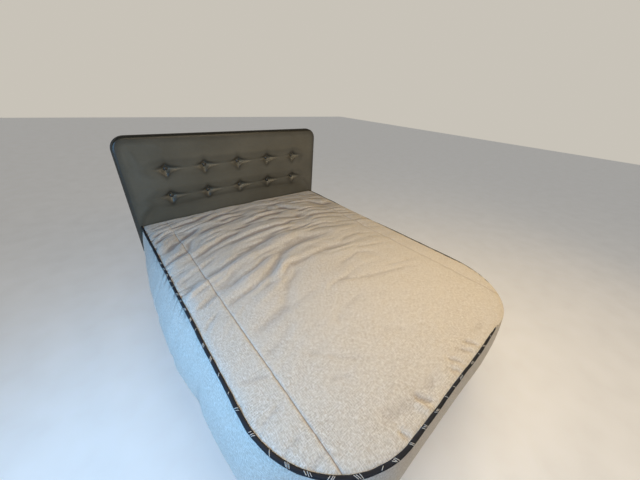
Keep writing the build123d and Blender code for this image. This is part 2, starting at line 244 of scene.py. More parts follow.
def add_tube(bm: bmesh.types.BMesh, line: Array, radius: float | Array, sides: int) -> None:
    """Add a closed round tube that follows a line.

    Args:
        bm: Mesh to add to.
        line: One row for each point of the line.
        radius: Tube radius, one for all or one for each point.
        sides: Corners of its section.
    """
    radii = np.broadcast_to(radius, (len(line),))
    tangents = np.gradient(line, axis=0)
    tangents /= np.linalg.norm(tangents, axis=1)[:, None]
    start = Vector(tangents[0])
    turn = start.to_track_quat("Z", "Y").to_matrix().to_4x4()
    made = bmesh.ops.create_circle(bm, segments=sides, radius=radii[0], cap_ends=True,
                                   matrix=Matrix.Translation(line[0]) @ turn)
    ring = made["verts"]
    edges = list({edge for vert in ring for edge in vert.link_edges})
    for before, point in enumerate(line[1:]):
        made = bmesh.ops.extrude_edge_only(bm, edges=edges)["geom"]
        ring = [item for item in made if isinstance(item, bmesh.types.BMVert)]
        edges = [item for item in made if isinstance(item, bmesh.types.BMEdge)
                 and all(vert in ring for vert in item.verts)]
        bend = Vector(tangents[before]).rotation_difference(Vector(tangents[before + 1])).to_matrix().to_4x4()
        move = Matrix.Translation(point) @ bend @ Matrix.Scale(radii[before + 1] / radii[before], 4)
        bmesh.ops.transform(bm, matrix=move @ Matrix.Translation(-Vector(line[before])), verts=ring)
    bmesh.ops.contextual_create(bm, geom=edges)


def apply_modifiers(piece: bpy.types.Object) -> None:
    """Put a piece's modifiers into its mesh.

    Args:
        piece: The piece, which may have none.
    """
    if piece.modifiers:
        seen = piece.evaluated_get(bpy.context.evaluated_depsgraph_get())
        mesh = bpy.data.meshes.new_from_object(seen)
        piece.modifiers.clear()
        piece.data = mesh


def read_places(piece: bpy.types.Object) -> Array:
    """Read where the points of a piece are.

    Args:
        piece: The piece.

    Returns:
        One row of x, y and z for each point.
    """
    places = np.empty(3 * len(piece.data.vertices))
    piece.data.vertices.foreach_get("co", places)
    return places.reshape(-1, 3)


def mark_hollows(piece: bpy.types.Object, rounds: int, depth: float) -> None:
    """Keep how deep each point lies in a fold or pit as the attribute "hollow", which the finishes darken as
    painted shade.

    Args:
        piece: The piece.
        rounds: How often the surface is smoothed to compare it with.
        depth: Depth that counts as 1, in metres.
    """
    places = read_places(piece)
    ends = np.empty(2 * len(piece.data.edges), int)
    piece.data.edges.foreach_get("vertices", ends)
    a, b = ends.reshape(-1, 2).T
    known = len(places)
    count = np.bincount(a, minlength=known) + np.bincount(b, minlength=known)
    soft = places.copy()
    for _ in range(rounds):
        near = [np.bincount(a, soft[b, k], known) + np.bincount(b, soft[a, k], known) for k in range(3)]
        soft = (1.0 - SMOOTHING) * soft + SMOOTHING * np.column_stack(near) / count[:, None]
    facing = np.empty(3 * known)
    piece.data.vertex_normals.foreach_get("vector", facing)
    hollow = ((soft - places) * facing.reshape(-1, 3)).sum(axis=1) / depth
    mark = piece.data.attributes.new("hollow", "FLOAT", "POINT")
    mark.data.foreach_set("value", np.clip(hollow, -1.0, 1.0))


@dataclass(frozen=True)
class Puff:
    """Settings of a short cloth simulation that blows a cover up, and how far a point may move at most."""

    frames: int
    pressure: float
    bending: float
    reach: float
    quality: int = 6
    mass: float = 0.4
    stretching: float = 40.0
    shearing: float = 20.0


def puff_up(piece: bpy.types.Object, held: Array, puff: Puff) -> None:
    """Blow a cover up between the places where it is held, and keep the result in its mesh.

    Args:
        piece: The cover.
        held: How firmly each of its points is held, from 0 to 1.
        puff: Settings of the simulation.
    """
    group = piece.vertex_groups.new(name="held")
    for index in np.flatnonzero(held > 0.0):
        group.add([int(index)], float(held[index]), "REPLACE")
    cloth = piece.modifiers.new("cloth", "CLOTH")
    settings = cloth.settings
    settings.quality = puff.quality
    settings.mass = puff.mass
    settings.tension_stiffness = settings.compression_stiffness = puff.stretching
    settings.shear_stiffness = puff.shearing
    settings.bending_stiffness = puff.bending
    settings.vertex_group_mass = group.name
    settings.use_pressure = True
    settings.uniform_pressure_force = puff.pressure
    settings.effector_weights.gravity = 0.0
    cloth.point_cache.frame_end = puff.frames
    start = read_places(piece)
    scene = bpy.context.scene
    for number in range(1, puff.frames + 1):
        scene.frame_set(number)
    seen = piece.evaluated_get(bpy.context.evaluated_depsgraph_get())
    moved = np.empty(start.size)
    seen.data.vertices.foreach_get("co", moved)
    piece.modifiers.clear()
    piece.vertex_groups.clear()
    scene.frame_set(1)
    step = moved.reshape(-1, 3) - start
    length = np.linalg.norm(step, axis=1)[:, None]
    step *= np.minimum(1.0, puff.reach / np.maximum(length, 1e-9))
    LOG.info("%s: moved up to %.1f mm", piece.name, 1000 * np.linalg.norm(step, axis=1).max())
    piece.data.vertices.foreach_set("co", (start + step).ravel())
    piece.data.update()


# ---------------------------------------------------------------- finishes


class Grain(Enum):
    """Way that a board's grain runs, as the stretch of its pattern along X, Y and Z."""

    ACROSS = (0.05, 1.0, 1.0)
    ALONG = (1.0, 0.05, 1.0)
    UP = (1.0, 1.0, 0.05)


Value = float | Sequence[float] | bpy.types.NodeSocket


class Graph:
    """Node tree of one material, which ends in a Principled shader."""

    def __init__(self, name: str) -> None:
        """Start an empty material.

        Args:
            name: Name of the material.
        """
        self.material = bpy.data.materials.new(name)
        self.material.use_nodes = True
        self.tree = self.material.node_tree
        self.shader = self.tree.nodes["Principled BSDF"]

    def put(self, socket: bpy.types.NodeSocket, value: Value) -> None:
        """Link a socket to another, or set its value.

        Args:
            socket: The input.
            value: The output that is linked to it, or a constant.
        """
        if isinstance(value, bpy.types.NodeSocket):
            self.tree.links.new(value, socket)
        else:
            socket.default_value = value

    def add(self, kind: str, inputs: dict[str | int, Value], **settings: str | bool | float) -> bpy.types.Node:
        """Add a node.

        Args:
            kind: The node's type, without "ShaderNode".
            inputs: What goes into its sockets.
            **settings: The node's own settings.

        Returns:
            The new node.
        """
        node = self.tree.nodes.new("ShaderNode" + kind)
        for key, value in settings.items():
            setattr(node, key, value)
        for key, value in inputs.items():
            self.put(node.inputs[key], value)
        return node

    def place(self, scale: Sequence[float], turn: Sequence[float] = (0.0, 0.0, 0.0),
              cloth: bool = False) -> bpy.types.NodeSocket:
        """Coordinates for a pattern.

        Args:
            scale: Pattern cells for each metre, along three axes.
            turn: Turn of the pattern, in radians.
            cloth: Use the cloth's flat coordinates instead of the object's.

        Returns:
            The vector.
        """
        if cloth:
            source = self.add("UVMap", {}, uv_map="cloth").outputs["UV"]
        else:
            source = self.add("TexCoord", {}).outputs["Object"]
        return self.add("Mapping", {"Vector": source, "Rotation": turn, "Scale": scale}).outputs["Vector"]

    def along(self, axis: str, cloth: bool = False) -> bpy.types.NodeSocket:
        """Distance along one axis of the object or of its flat cloth, in metres."""
        return self.part(self.place((1.0, 1.0, 1.0), cloth=cloth), axis)

    def noise(self, where: Value, detail: float = 2.0, distortion: float = 0.0) -> bpy.types.NodeSocket:
        """Cloudy pattern of one cell for each unit."""
        return self.add("TexNoise", {"Vector": where, "Scale": 1.0, "Detail": detail,
                                     "Distortion": distortion}).outputs[0]

    def cells(self, where: Value, feature: str = "F1") -> bpy.types.NodeSocket:
        """Distance in a pattern of irregular cells, one for each unit."""
        return self.add("TexVoronoi", {"Vector": where, "Scale": 1.0}, feature=feature).outputs[0]

    def limit(self, value: Value, low: float, high: float, first: float = 0.0,
              last: float = 1.0) -> bpy.types.NodeSocket:
        """Stretch what lies between low and high to first and last."""
        return self.add("MapRange", {"Value": value, "From Min": low, "From Max": high, "To Min": first,
                                     "To Max": last}).outputs[0]

    def calc(self, operation: str, *values: Value) -> bpy.types.NodeSocket:
        """Work out one Math operation."""
        return self.add("Math", dict(enumerate(values)), operation=operation).outputs[0]

    def blend(self, share: Value, first: Value, second: Value, how: str = "MIX") -> bpy.types.NodeSocket:
        """Mix two colours.

        Args:
            share: How much of the second there is.
            first: First colour.
            second: Second colour.
            how: Blend type.

        Returns:
            The mixed colour.
        """
        one, other = (value if isinstance(value, bpy.types.NodeSocket) else (*value, 1.0)
                      for value in (first, second))
        return self.add("Mix", {0: share, 6: one, 7: other}, data_type="RGBA", blend_type=how).outputs[2]

    def part(self, where: Value, axis: str) -> bpy.types.NodeSocket:
        """One component of a vector."""
        return self.add("SeparateXYZ", {"Vector": where}).outputs[axis]

    def hollow(self) -> bpy.types.NodeSocket:
        """How deep the surface lies in a fold or pit, from -1 to 1."""
        return self.add("Attribute", {}, attribute_name="hollow").outputs["Fac"]

    def bump(self, height: Value, depth: float, strength: float = 1.0,
             below: Value | None = None) -> bpy.types.NodeSocket:
        """Turn a height into a normal.

        Args:
            height: Height between 0 and 1.
            depth: What 1 stands for, in metres.
            strength: Share of the effect.
            below: A normal to add to.

        Returns:
            The normal.
        """
        inputs: dict[str | int, Value] = {"Height": height, "Distance": depth, "Strength": strength}
        if below is not None:
            inputs["Normal"] = below
        return self.add("Bump", inputs).outputs["Normal"]

    def close(self, colour: Value, roughness: Value, normal: Value | None = None,
              **fixed: float) -> bpy.types.Material:
        """Join the shader's sockets and hand out the material.

        Args:
            colour: Base colour.
            roughness: Roughness.
            normal: Normal from bump.
            **fixed: Constants for other sockets, with _ for a space.

        Returns:
            The material.
        """
        self.put(self.shader.inputs["Base Color"], colour)
        self.put(self.shader.inputs["Roughness"], roughness)
        if normal is not None:
            self.put(self.shader.inputs["Normal"], normal)
        for key, value in fixed.items():
            self.shader.inputs[key.replace("_", " ")].default_value = value
        return self.material


@dataclass(frozen=True)
class BedspreadCloth:
    """Cream slub cloth with threads that run both ways, tan flecks, tan seam lines and painted shade in its
    folds.
    """

    name: str = "bedspread_cloth"
    cream: Colour = (0.70, 0.65, 0.58)
    shade: Colour = (0.50, 0.445, 0.38)
    pale: Colour = (0.90, 0.885, 0.86)
    tan: Colour = (0.50, 0.405, 0.31)
    seam: Colour = (0.32, 0.23, 0.16)
    # Colour multiplied into the folds as painted shade.
    fold_shade: Colour = (0.50, 0.455, 0.45)
    lengthwise: Point = (330.0, 75.0, 1.0)
    crosswise: Point = (85.0, 300.0, 1.0)
    flecks: Point = (170.0, 60.0, 1.0)
    weave: Point = (1100.0, 700.0, 1.0)
    patches: Point = (16.0, 16.0, 1.0)
    clouds: Point = (9.0, 9.0, 9.0)
    rib_pitch_x: float = 0.0076
    rib_pitch_y: float = 0.0082
    rib_height: float = 0.050
    slub_share: float = 0.6
    fleck_share: float = 0.7
    cloud_share: float = 0.25
    seam_share: float = 0.85
    seam_at_head: float = 0.06
    # Share of the painted fold shade that is left at the foot.
    fold_shade_at_foot: float = 0.50
    thread_depth: float = 0.004
    seam_depth: float = 0.0015
    seam_x: float = 0.617

    def ribs(self, g: Graph, axis: str, pitch: float, sway: Value) -> bpy.types.NodeSocket:
        """Ribs across one axis of the cloth, which its threads push about."""
        phase = g.calc("MULTIPLY", sway, 4.0)
        return g.calc("SINE", g.calc("MULTIPLY_ADD", g.along(axis, cloth=True), 2 * math.pi / pitch, phase))

    def build(self) -> bpy.types.Material:
        """Build the material.

        Returns:
            The material.
        """
        g = Graph(self.name)
        lengthwise = g.noise(g.place(self.lengthwise, cloth=True), 3.0, 0.6)
        crosswise = g.noise(g.place(self.crosswise, (0.0, 0.0, 0.12), cloth=True), 3.0, 0.6)
        flecks = g.noise(g.place(self.flecks, (0.0, 0.0, 0.5), cloth=True), 3.0, 1.0)
        cloud = g.noise(g.place(self.clouds, cloth=True), 3.0)
        weave = g.noise(g.place(self.weave, cloth=True), 1.0)
        patch = g.limit(g.noise(g.place(self.patches, cloth=True), 2.0), 0.42, 0.58)
        rest = g.calc("SUBTRACT", 1.0, patch)
        ribs = g.calc("ADD", g.calc("MULTIPLY", self.ribs(g, "X", self.rib_pitch_x, crosswise), patch),
                      g.calc("MULTIPLY", self.ribs(g, "Y", self.rib_pitch_y, lengthwise), rest))
        threads = g.calc("MULTIPLY", g.calc("ADD", lengthwise, crosswise), 0.5)
        threads = g.calc("MULTIPLY_ADD", ribs, self.rib_height, threads)
        colour = g.blend(g.limit(threads, 0.38, 0.56), self.shade, self.cream)
        slubs = g.calc("MAXIMUM", g.limit(lengthwise, 0.55, 0.68), g.limit(crosswise, 0.56, 0.70))
        colour = g.blend(g.calc("MULTIPLY", slubs, self.slub_share), colour, self.pale)
        colour = g.blend(g.limit(flecks, 0.57, 0.72, 0.0, self.fleck_share), colour, self.tan)
        colour = g.blend(g.limit(cloud, 0.35, 0.65, 0.0, self.cloud_share), colour, self.cream)
        # Painted shade: the cloth is darkened where it lies in a fold, less so towards the foot.
        deep = g.calc("MULTIPLY", g.limit(g.hollow(), 0.10, 0.85),
                      g.limit(g.along("Y", cloth=True), -0.1, 0.6, self.fold_shade_at_foot, 1.0))
        colour = g.blend(deep, colour, self.fold_shade, "MULTIPLY")
        across = g.calc("ABSOLUTE", g.along("X", cloth=True))
        off_seam = g.calc("ABSOLUTE", g.calc("SUBTRACT", across, self.seam_x))
        sewn = g.calc("MULTIPLY", g.limit(off_seam, 0.0026, 0.0010, 0.0, self.seam_share),
                      g.limit(g.along("Y", cloth=True), 0.78, 0.45, self.seam_at_head, 1.0))
        colour = g.blend(sewn, colour, self.seam)
        normal = g.bump(g.calc("ADD", threads, g.calc("MULTIPLY", weave, 0.2)), self.thread_depth, 0.8)
        normal = g.bump(g.limit(off_seam, 0.0, 0.005), self.seam_depth, 1.0, normal)
        roughness = g.limit(cloud, 0.2, 0.8, 0.82, 0.94)
        return g.close(colour, roughness, normal, Sheen_Weight=0.25, Sheen_Roughness=0.5)


@dataclass(frozen=True)
class WovenCloth:
    """Plain close weave, such as on a cord, a strap or mattress ticking."""

    name: str
    colour: Colour
    other: Colour
    threads: float = 900.0
    roughness: float = 0.85
    sheen: float = 0.1
    depth: float = 0.0004
    wear_cells: float = 60.0

    def build(self) -> bpy.types.Material:
        """Build the material.

        Returns:
            The material.
        """
        g = Graph(self.name)
        where = g.place((self.threads,) * 3)
        weave = g.calc("MULTIPLY_ADD", *(g.calc("SINE", g.part(where, axis)) for axis in "XYZ"))
        wear = g.noise(g.place((self.wear_cells,) * 3), 4.0)
        share = g.calc("MULTIPLY", g.limit(weave, -1.2, 1.6), g.limit(wear, 0.25, 0.75, 0.4, 1.0))
        colour = g.blend(share, self.colour, self.other)
        return g.close(colour, self.roughness, g.bump(weave, self.depth, 0.6), Sheen_Weight=self.sheen)


@dataclass(frozen=True)
class GrainedVinyl:
    """Soft vinyl with a fine pebbled grain, a little paler where it is stretched, and painted shade in its
    furrows and pits.
    """

    name: str
    colour: Colour
    stretched: Colour
    roughness: float
    # Colour multiplied into furrows and pits as painted shade.
    crease_shade: Colour = (0.20, 0.19, 0.18)
    pebble_cells: float = 520.0
    pore_cells: float = 1400.0
    cloud_cells: float = 3.5
    depth: float = 0.00035

    def build(self) -> bpy.types.Material:
        """Build the material.

        Returns:
            The material.
        """
        g = Graph(self.name)
        pebbles = g.cells(g.place((self.pebble_cells,) * 3), "SMOOTH_F1")
        pores = g.noise(g.place((self.pore_cells,) * 3), 2.0)
        cloud = g.noise(g.place((self.cloud_cells,) * 3), 4.0)
        colour = g.blend(g.limit(cloud, 0.3, 0.7), self.colour, self.stretched)
        colour = g.blend(g.limit(pebbles, 0.25, 0.75, 0.0, 0.35), colour, self.colour, "MULTIPLY")
        # Painted shade: the vinyl is darkened where the surface lies in a furrow or pit.
        colour = g.blend(g.limit(g.hollow(), 0.06, 0.80, 0.0, 0.80), colour, self.crease_shade, "MULTIPLY")
        height = g.calc("ADD", pebbles, g.calc("MULTIPLY", pores, 0.4))
        roughness = g.limit(cloud, 0.25, 0.75, self.roughness - 0.015, self.roughness + 0.025)
        return g.close(colour, roughness, g.bump(height, self.depth, 0.7), Specular_IOR_Level=0.45)


@dataclass(frozen=True)
class Wood:
    """Board with grain, pores and, at its sawn edges, the layers of plywood."""

    name: str
    light: Colour
    dark: Colour
    grain: Grain
    layers: float = 0.0
    roughness: float = 0.5
    figure_cells: float = 14.0
    streak_cells: float = 160.0
    pore_cells: float = 900.0
    depth: float = 0.0004

    def build(self) -> bpy.types.Material:
        """Build the material.

        Returns:
            The material.
        """
        g = Graph(self.name)
        figure = g.noise(self.pattern(g, self.figure_cells), 5.0, 1.6)
        streaks = g.noise(self.pattern(g, self.streak_cells), 4.0, 0.3)
        pores = g.noise(self.pattern(g, self.pore_cells), 1.0)
        tone = g.calc("ADD", g.calc("MULTIPLY", figure, 0.6), g.calc("MULTIPLY", streaks, 0.4))
        colour = g.blend(g.limit(tone, 0.35, 0.65), self.light, self.dark)
        colour = g.blend(g.limit(pores, 0.62, 0.74, 0.0, 0.45), colour, self.dark, "MULTIPLY")
        height = g.calc("SUBTRACT", streaks, g.limit(pores, 0.6, 0.75))
        if self.layers:
            bands = g.calc("SINE", g.calc("MULTIPLY", g.along("Z"), self.layers))
            facing = g.calc("ABSOLUTE", g.part(g.add("NewGeometry", {}).outputs["Normal"], "Z"))
            sawn = g.limit(facing, 0.7, 0.3)
            layer = g.blend(g.limit(bands, -0.4, 0.4), self.light, self.dark)
            colour = g.blend(sawn, colour, layer)
        roughness = g.limit(streaks, 0.3, 0.7, self.roughness - 0.06, self.roughness + 0.1)
        return g.close(colour, roughness, g.bump(height, self.depth, 0.6))

    def pattern(self, g: Graph, cells: float) -> bpy.types.NodeSocket:
        """Coordinates of a pattern that is drawn out along the grain."""
        return g.place([cells * share for share in self.grain.value])


@dataclass(frozen=True)
class Metal:
    """Plated, painted or polished metal with fine marks of use."""

    name: str
    colour: Colour
    worn: Colour
    roughness: float
    metallic: float = 1.0
    spot_cells: float = 45.0
    scratches: Point = (900.0, 60.0, 240.0)
    depth: float = 0.00008

    def build(self) -> bpy.types.Material:
        """Build the material.

        Returns:
            The material.
        """
        g = Graph(self.name)
        spots = g.noise(g.place((self.spot_cells,) * 3), 6.0, 0.5)
        scratches = g.noise(g.place(self.scratches), 3.0, 2.0)
        colour = g.blend(g.limit(spots, 0.45, 0.8), self.colour, self.worn)
        rough = g.limit(g.calc("ADD", spots, scratches), 0.7, 1.4, self.roughness * 0.8, self.roughness * 1.35)
        return g.close(colour, rough, g.bump(scratches, self.depth, 0.5), Metallic=self.metallic)


# ---------------------------------------------------------------- the bed's plan


@dataclass(frozen=True)
class Outline:
    """Rectangle that is square at its head end and rounded at its foot corners."""

    half: float
    head: float
    foot: float
    corner: float

    def grown(self, margin: float) -> "Outline":
        """The same outline, larger by margin at the sides and the foot."""
        return Outline(self.half + margin, self.head, self.foot - margin, self.corner + margin)

    def girth(self) -> float:
        """Length of the edge from the head round the foot to the head again."""
        return 2 * (self.head - self.foot - self.corner) + math.pi * self.corner + 2 * (self.half - self.corner)

    def fill(self, x: Array, y: Array) -> tuple[Array, Array]:
        """Press the corners of a square grid into the round corners.

        Args:
            x: Across the rectangle.
            y: Along the rectangle.

        Returns:
            The pressed x and y.
        """
        r, cx, cy = self.corner, self.half - self.corner, self.foot + self.corner
        a = np.clip((np.abs(x) - cx) / r, 0.0, 1.0)
        b = np.clip((cy - y) / r, 0.0, 1.0)
        new_x = np.where(np.abs(x) > cx, np.sign(x) * (cx + r * a * np.sqrt(1.0 - b * b / 2.0)), x)
        new_y = np.where(y < cy, cy - r * b * np.sqrt(1.0 - a * a / 2.0), y)
        return new_x, new_y

    def inset(self, x: Array, y: Array) -> Array:
        """Distance from each point to the side and foot edges.

        Args:
            x: Across the rectangle.
            y: Along the rectangle.

        Returns:
            The distances, 0 outside.
        """
        r = self.corner
        dx = np.abs(x) - (self.half - r)
        dy = (self.foot + r) - y
        round_part = r - np.hypot(np.maximum(dx, 0.0), np.maximum(dy, 0.0))
        straight = np.minimum(self.half - np.abs(x), y - self.foot)
        return np.maximum(np.where((dx > 0) & (dy > 0), round_part, straight), 0.0)

    def walk(self, way: Array) -> tuple[Array, Array, Array, Array]:
        """Follow the edge from the head on the left, round the foot, to the head on the right.

        Args:
            way: Distance walked, in metres.

        Returns:
            x and y of the edge, and x and y of the direction that points out.
        """
        r, side = self.corner, self.head - self.foot - self.corner
        arc, end = math.pi * r / 2, 2 * (self.half - r)
        cx, cy = self.half - r, self.foot + r
        first = np.clip((way - side) / r, 0.0, math.pi / 2)
        second = np.clip((way - side - arc - end) / r, 0.0, math.pi / 2)
        angle = math.pi + first + second
        nx, ny = np.cos(angle), np.sin(angle)
        along = np.clip(way - side - arc, 0.0, end)
        x = -cx + along + r * nx
        y = cy + np.maximum(side - way, 0.0) + np.maximum(way - side - 2 * arc - end, 0.0) + r * ny
        return x, y, nx, ny


MATTRESS_PLAN = Outline(half=0.762, head=0.969, foot=-1.010, corner=0.372)


# ---------------------------------------------------------------- bedspread


@dataclass(frozen=True)
class Fold:
    """One fold of the bedspread: a soft ridge, or a valley where its height is below 0."""

    height: float
    width: float
    points: tuple[tuple[float, float], ...]
    lift: float = 1.35
    spread: float = 1.25
    rise: tuple[float, float] = (-0.12, 0.22)
    fall: tuple[float, float] = (0.74, 1.12)

    def relief(self, x: Array, y: Array) -> Array:
        """Height that the fold adds.

        Args:
            x: Across the bed.
            y: Along the bed.

        Returns:
            The added height at each point.
        """
        line = smooth_line(self.points, 6 * len(self.points))
        nearest = np.full(x.shape, 9.0)
        place = np.zeros(x.shape)
        for i, (start, end) in enumerate(zip(line[:-1], line[1:])):
            run = end - start
            t = np.clip(((x - start[0]) * run[0] + (y - start[1]) * run[1]) / (run @ run), 0.0, 1.0)
            gap = np.hypot(x - start[0] - t * run[0], y - start[1] - t * run[1])
            closer = gap < nearest
            nearest = np.where(closer, gap, nearest)
            place = np.where(closer, (i + t) / (len(line) - 1), place)
        taper = ease(place, *self.rise) * (1.0 - ease(place, *self.fall))
        return self.lift * self.height * taper * np.exp(-((nearest / (self.spread * self.width)) ** 2))


@dataclass(frozen=True)
class Creases:
    """One size of the creases that cross the whole top: soft ridges between random hollows."""

    height: float
    more_at_head: float
    across: float
    along: float
    start: float
    sway: float
    soft: float
    level: float
    seed: int

    def relief(self, x: Array, bent: Array, shift: Array, head: Array) -> Array:
        """Height that the creases add.

        Args:
            x: Across the bed.
            bent: Along the bed, on lines that curve towards its right side.
            shift: How far these lines sway.
            head: From 0 at the foot to 1 near the headboard.

        Returns:
            The added height at each point, below 0 in the hollows.
        """
        lines = ripple(x / self.across + self.start, (bent + self.sway * shift) / self.along, self.seed)
        return (self.height + self.more_at_head * head) * (np.hypot(lines, self.soft) - self.level)


CREASES = (
    Creases(height=0.0215, more_at_head=0.0105, across=0.40, along=0.085, start=0.0, sway=1.0,
            soft=0.28, level=0.45, seed=Seed.BROAD_CREASES),
    Creases(height=0.0140, more_at_head=0.0095, across=0.22, along=0.052, start=7.0, sway=1.3,
            soft=0.30, level=0.47, seed=Seed.MIDDLE_CREASES),
    Creases(height=0.0045, more_at_head=0.0015, across=0.11, along=0.027, start=3.0, sway=1.6,
            soft=0.30, level=0.47, seed=Seed.FINE_CREASES),
)

FOLDS = (
    Fold(-0.008, 0.022, ((-0.62, 0.12), (-0.48, 0.176), (-0.334, 0.242),
         (-0.168, 0.292), (0.005, 0.318), (0.308, 0.318))),
    Fold(0.008, 0.034, ((-0.61, 0.071), (-0.47, 0.125), (-0.334, 0.17),
         (-0.186, 0.21), (-0.028, 0.24), (0.188, 0.247))),
    Fold(-0.009, 0.026, ((-0.37, -0.115), (-0.275, -0.015), (-0.164, 0.088),
         (-0.066, 0.132), (0.055, 0.151), (0.289, 0.128))),
    Fold(0.008, 0.036, ((-0.341, -0.145), (-0.238, -0.045), (-0.098, 0.045), (0.071, 0.085), (0.276, 0.075))),
    Fold(-0.007, 0.026, ((-0.253, -0.125), (-0.149, -0.057), (-0.035, -0.025),
         (0.14, -0.025), (0.30, -0.055))),
    Fold(-0.005, 0.030, ((-0.52, -0.353), (-0.405, -0.309), (-0.341, -0.246),
         (-0.267, -0.149), (-0.21, -0.095))),
    Fold(-0.005, 0.022, ((-0.61, -0.125), (-0.503, -0.104), (-0.401, -0.105))),
    Fold(-0.004, 0.026, ((-0.611, -0.358), (-0.524, -0.346), (-0.424, -0.316),
         (-0.336, -0.318), (-0.176, -0.306))),
    Fold(-0.003, 0.022, ((-0.607, -0.49), (-0.521, -0.467), (-0.411, -0.404))),
    Fold(-0.009, 0.020, ((-0.70, 0.535), (-0.60, 0.605), (-0.48, 0.708), (-0.339, 0.79), (-0.20, 0.845))),
    Fold(0.008, 0.024, ((-0.65, 0.565), (-0.55, 0.61), (-0.432, 0.685), (-0.25, 0.768), (-0.05, 0.805))),
    Fold(-0.006, 0.024, ((-0.139, 0.577), (0.05, 0.555), (0.210, 0.505), (0.40, 0.465), (0.563, 0.418))),
    Fold(-0.005, 0.022, ((-0.542, 0.285), (-0.40, 0.345), (-0.288, 0.395),
         (-0.03, 0.44), (0.20, 0.435), (0.393, 0.385))),
    Fold(-0.005, 0.022, ((-0.36, 0.585), (-0.227, 0.635), (0.055, 0.703), (0.347, 0.702), (0.50, 0.675))),
    Fold(-0.008, 0.022, ((0.201, 0.831), (0.257, 0.682), (0.33, 0.605), (0.400, 0.557))),
    Fold(0.005, 0.030, ((-0.136, 0.362), (0.122, 0.378), (0.30, 0.355), (0.464, 0.31))),
    Fold(-0.004, 0.020, ((0.25, 0.895), (0.40, 0.915), (0.69, 0.925))),
    Fold(-0.004, 0.020, ((-0.742, 0.91), (-0.557, 0.9), (-0.35, 0.89), (-0.1, 0.905))),
    Fold(-0.0032, 0.015, ((-0.105, -0.268), (0.043, -0.356), (0.174, -0.408),
         (0.312, -0.442), (0.500, -0.496))),
    Fold(-0.0022, 0.012, ((0.270, -0.378), (0.432, -0.419), (0.580, -0.448))),
    Fold(-0.003, 0.022, ((-0.267, -0.533), (-0.172, -0.49), (0.012, -0.469))),
    Fold(-0.002, 0.022, ((-0.133, -0.691), (-0.08, -0.715), (-0.027, -0.762))),
    Fold(-0.0030, 0.011, ((-0.735, -0.520), (-0.684, -0.539), (-0.615, -0.572))),
    Fold(-0.0030, 0.010, ((-0.742, -0.695), (-0.705, -0.684), (-0.640, -0.665))),
    Fold(-0.0028, 0.009, ((-0.728, -0.800), (-0.698, -0.790), (-0.655, -0.783))),
    Fold(-0.0028, 0.009, ((-0.690, -0.880), (-0.652, -0.866), (-0.610, -0.870))),
    Fold(-0.0035, 0.012, ((-0.750, -0.235), (-0.705, -0.190), (-0.645, -0.145))),
    Fold(-0.0035, 0.012, ((-0.730, -0.085), (-0.673, -0.055), (-0.605, -0.012))),
    Fold(-0.0018, 0.010, ((-0.475, -0.560), (-0.403, -0.632), (-0.351, -0.690), (-0.280, -0.750))),
    Fold(-0.0015, 0.010, ((-0.475, -0.712), (-0.430, -0.730), (-0.385, -0.750))),
    Fold(-0.0055, 0.028, ((-0.44, -0.904), (-0.352, -0.932), (-0.265, -0.95),
         (-0.18, -0.957), (-0.10, -0.98))),
    Fold(-0.006, 0.008, ((-0.255, -0.94), (-0.250, -0.965), (-0.222, -0.993))),
    Fold(0.004, 0.012, ((-0.275, -0.96), (-0.272, -0.985), (-0.25, -1.005))),
    Fold(-0.004, 0.009, ((-0.02, -0.94), (0.0, -0.97), (0.02, -1))),
    Fold(-0.004, 0.008, ((-0.06, -0.975), (-0.04, -0.99), (-0.025, -1.008))),
    Fold(-0.004, 0.009, ((0.07, -0.96), (0.09, -0.98), (0.11, -1.002))),
    Fold(-0.0045, 0.026, ((0.0, -0.945), (0.10, -0.95), (0.22, -0.96), (0.38, -0.945))),
    Fold(-0.004, 0.010, ((0.13, -0.95), (0.15, -0.975), (0.165, -1))),
    Fold(-0.004, 0.008, ((-0.40, -0.97), (-0.395, -0.99), (-0.385, -1.008))),
)


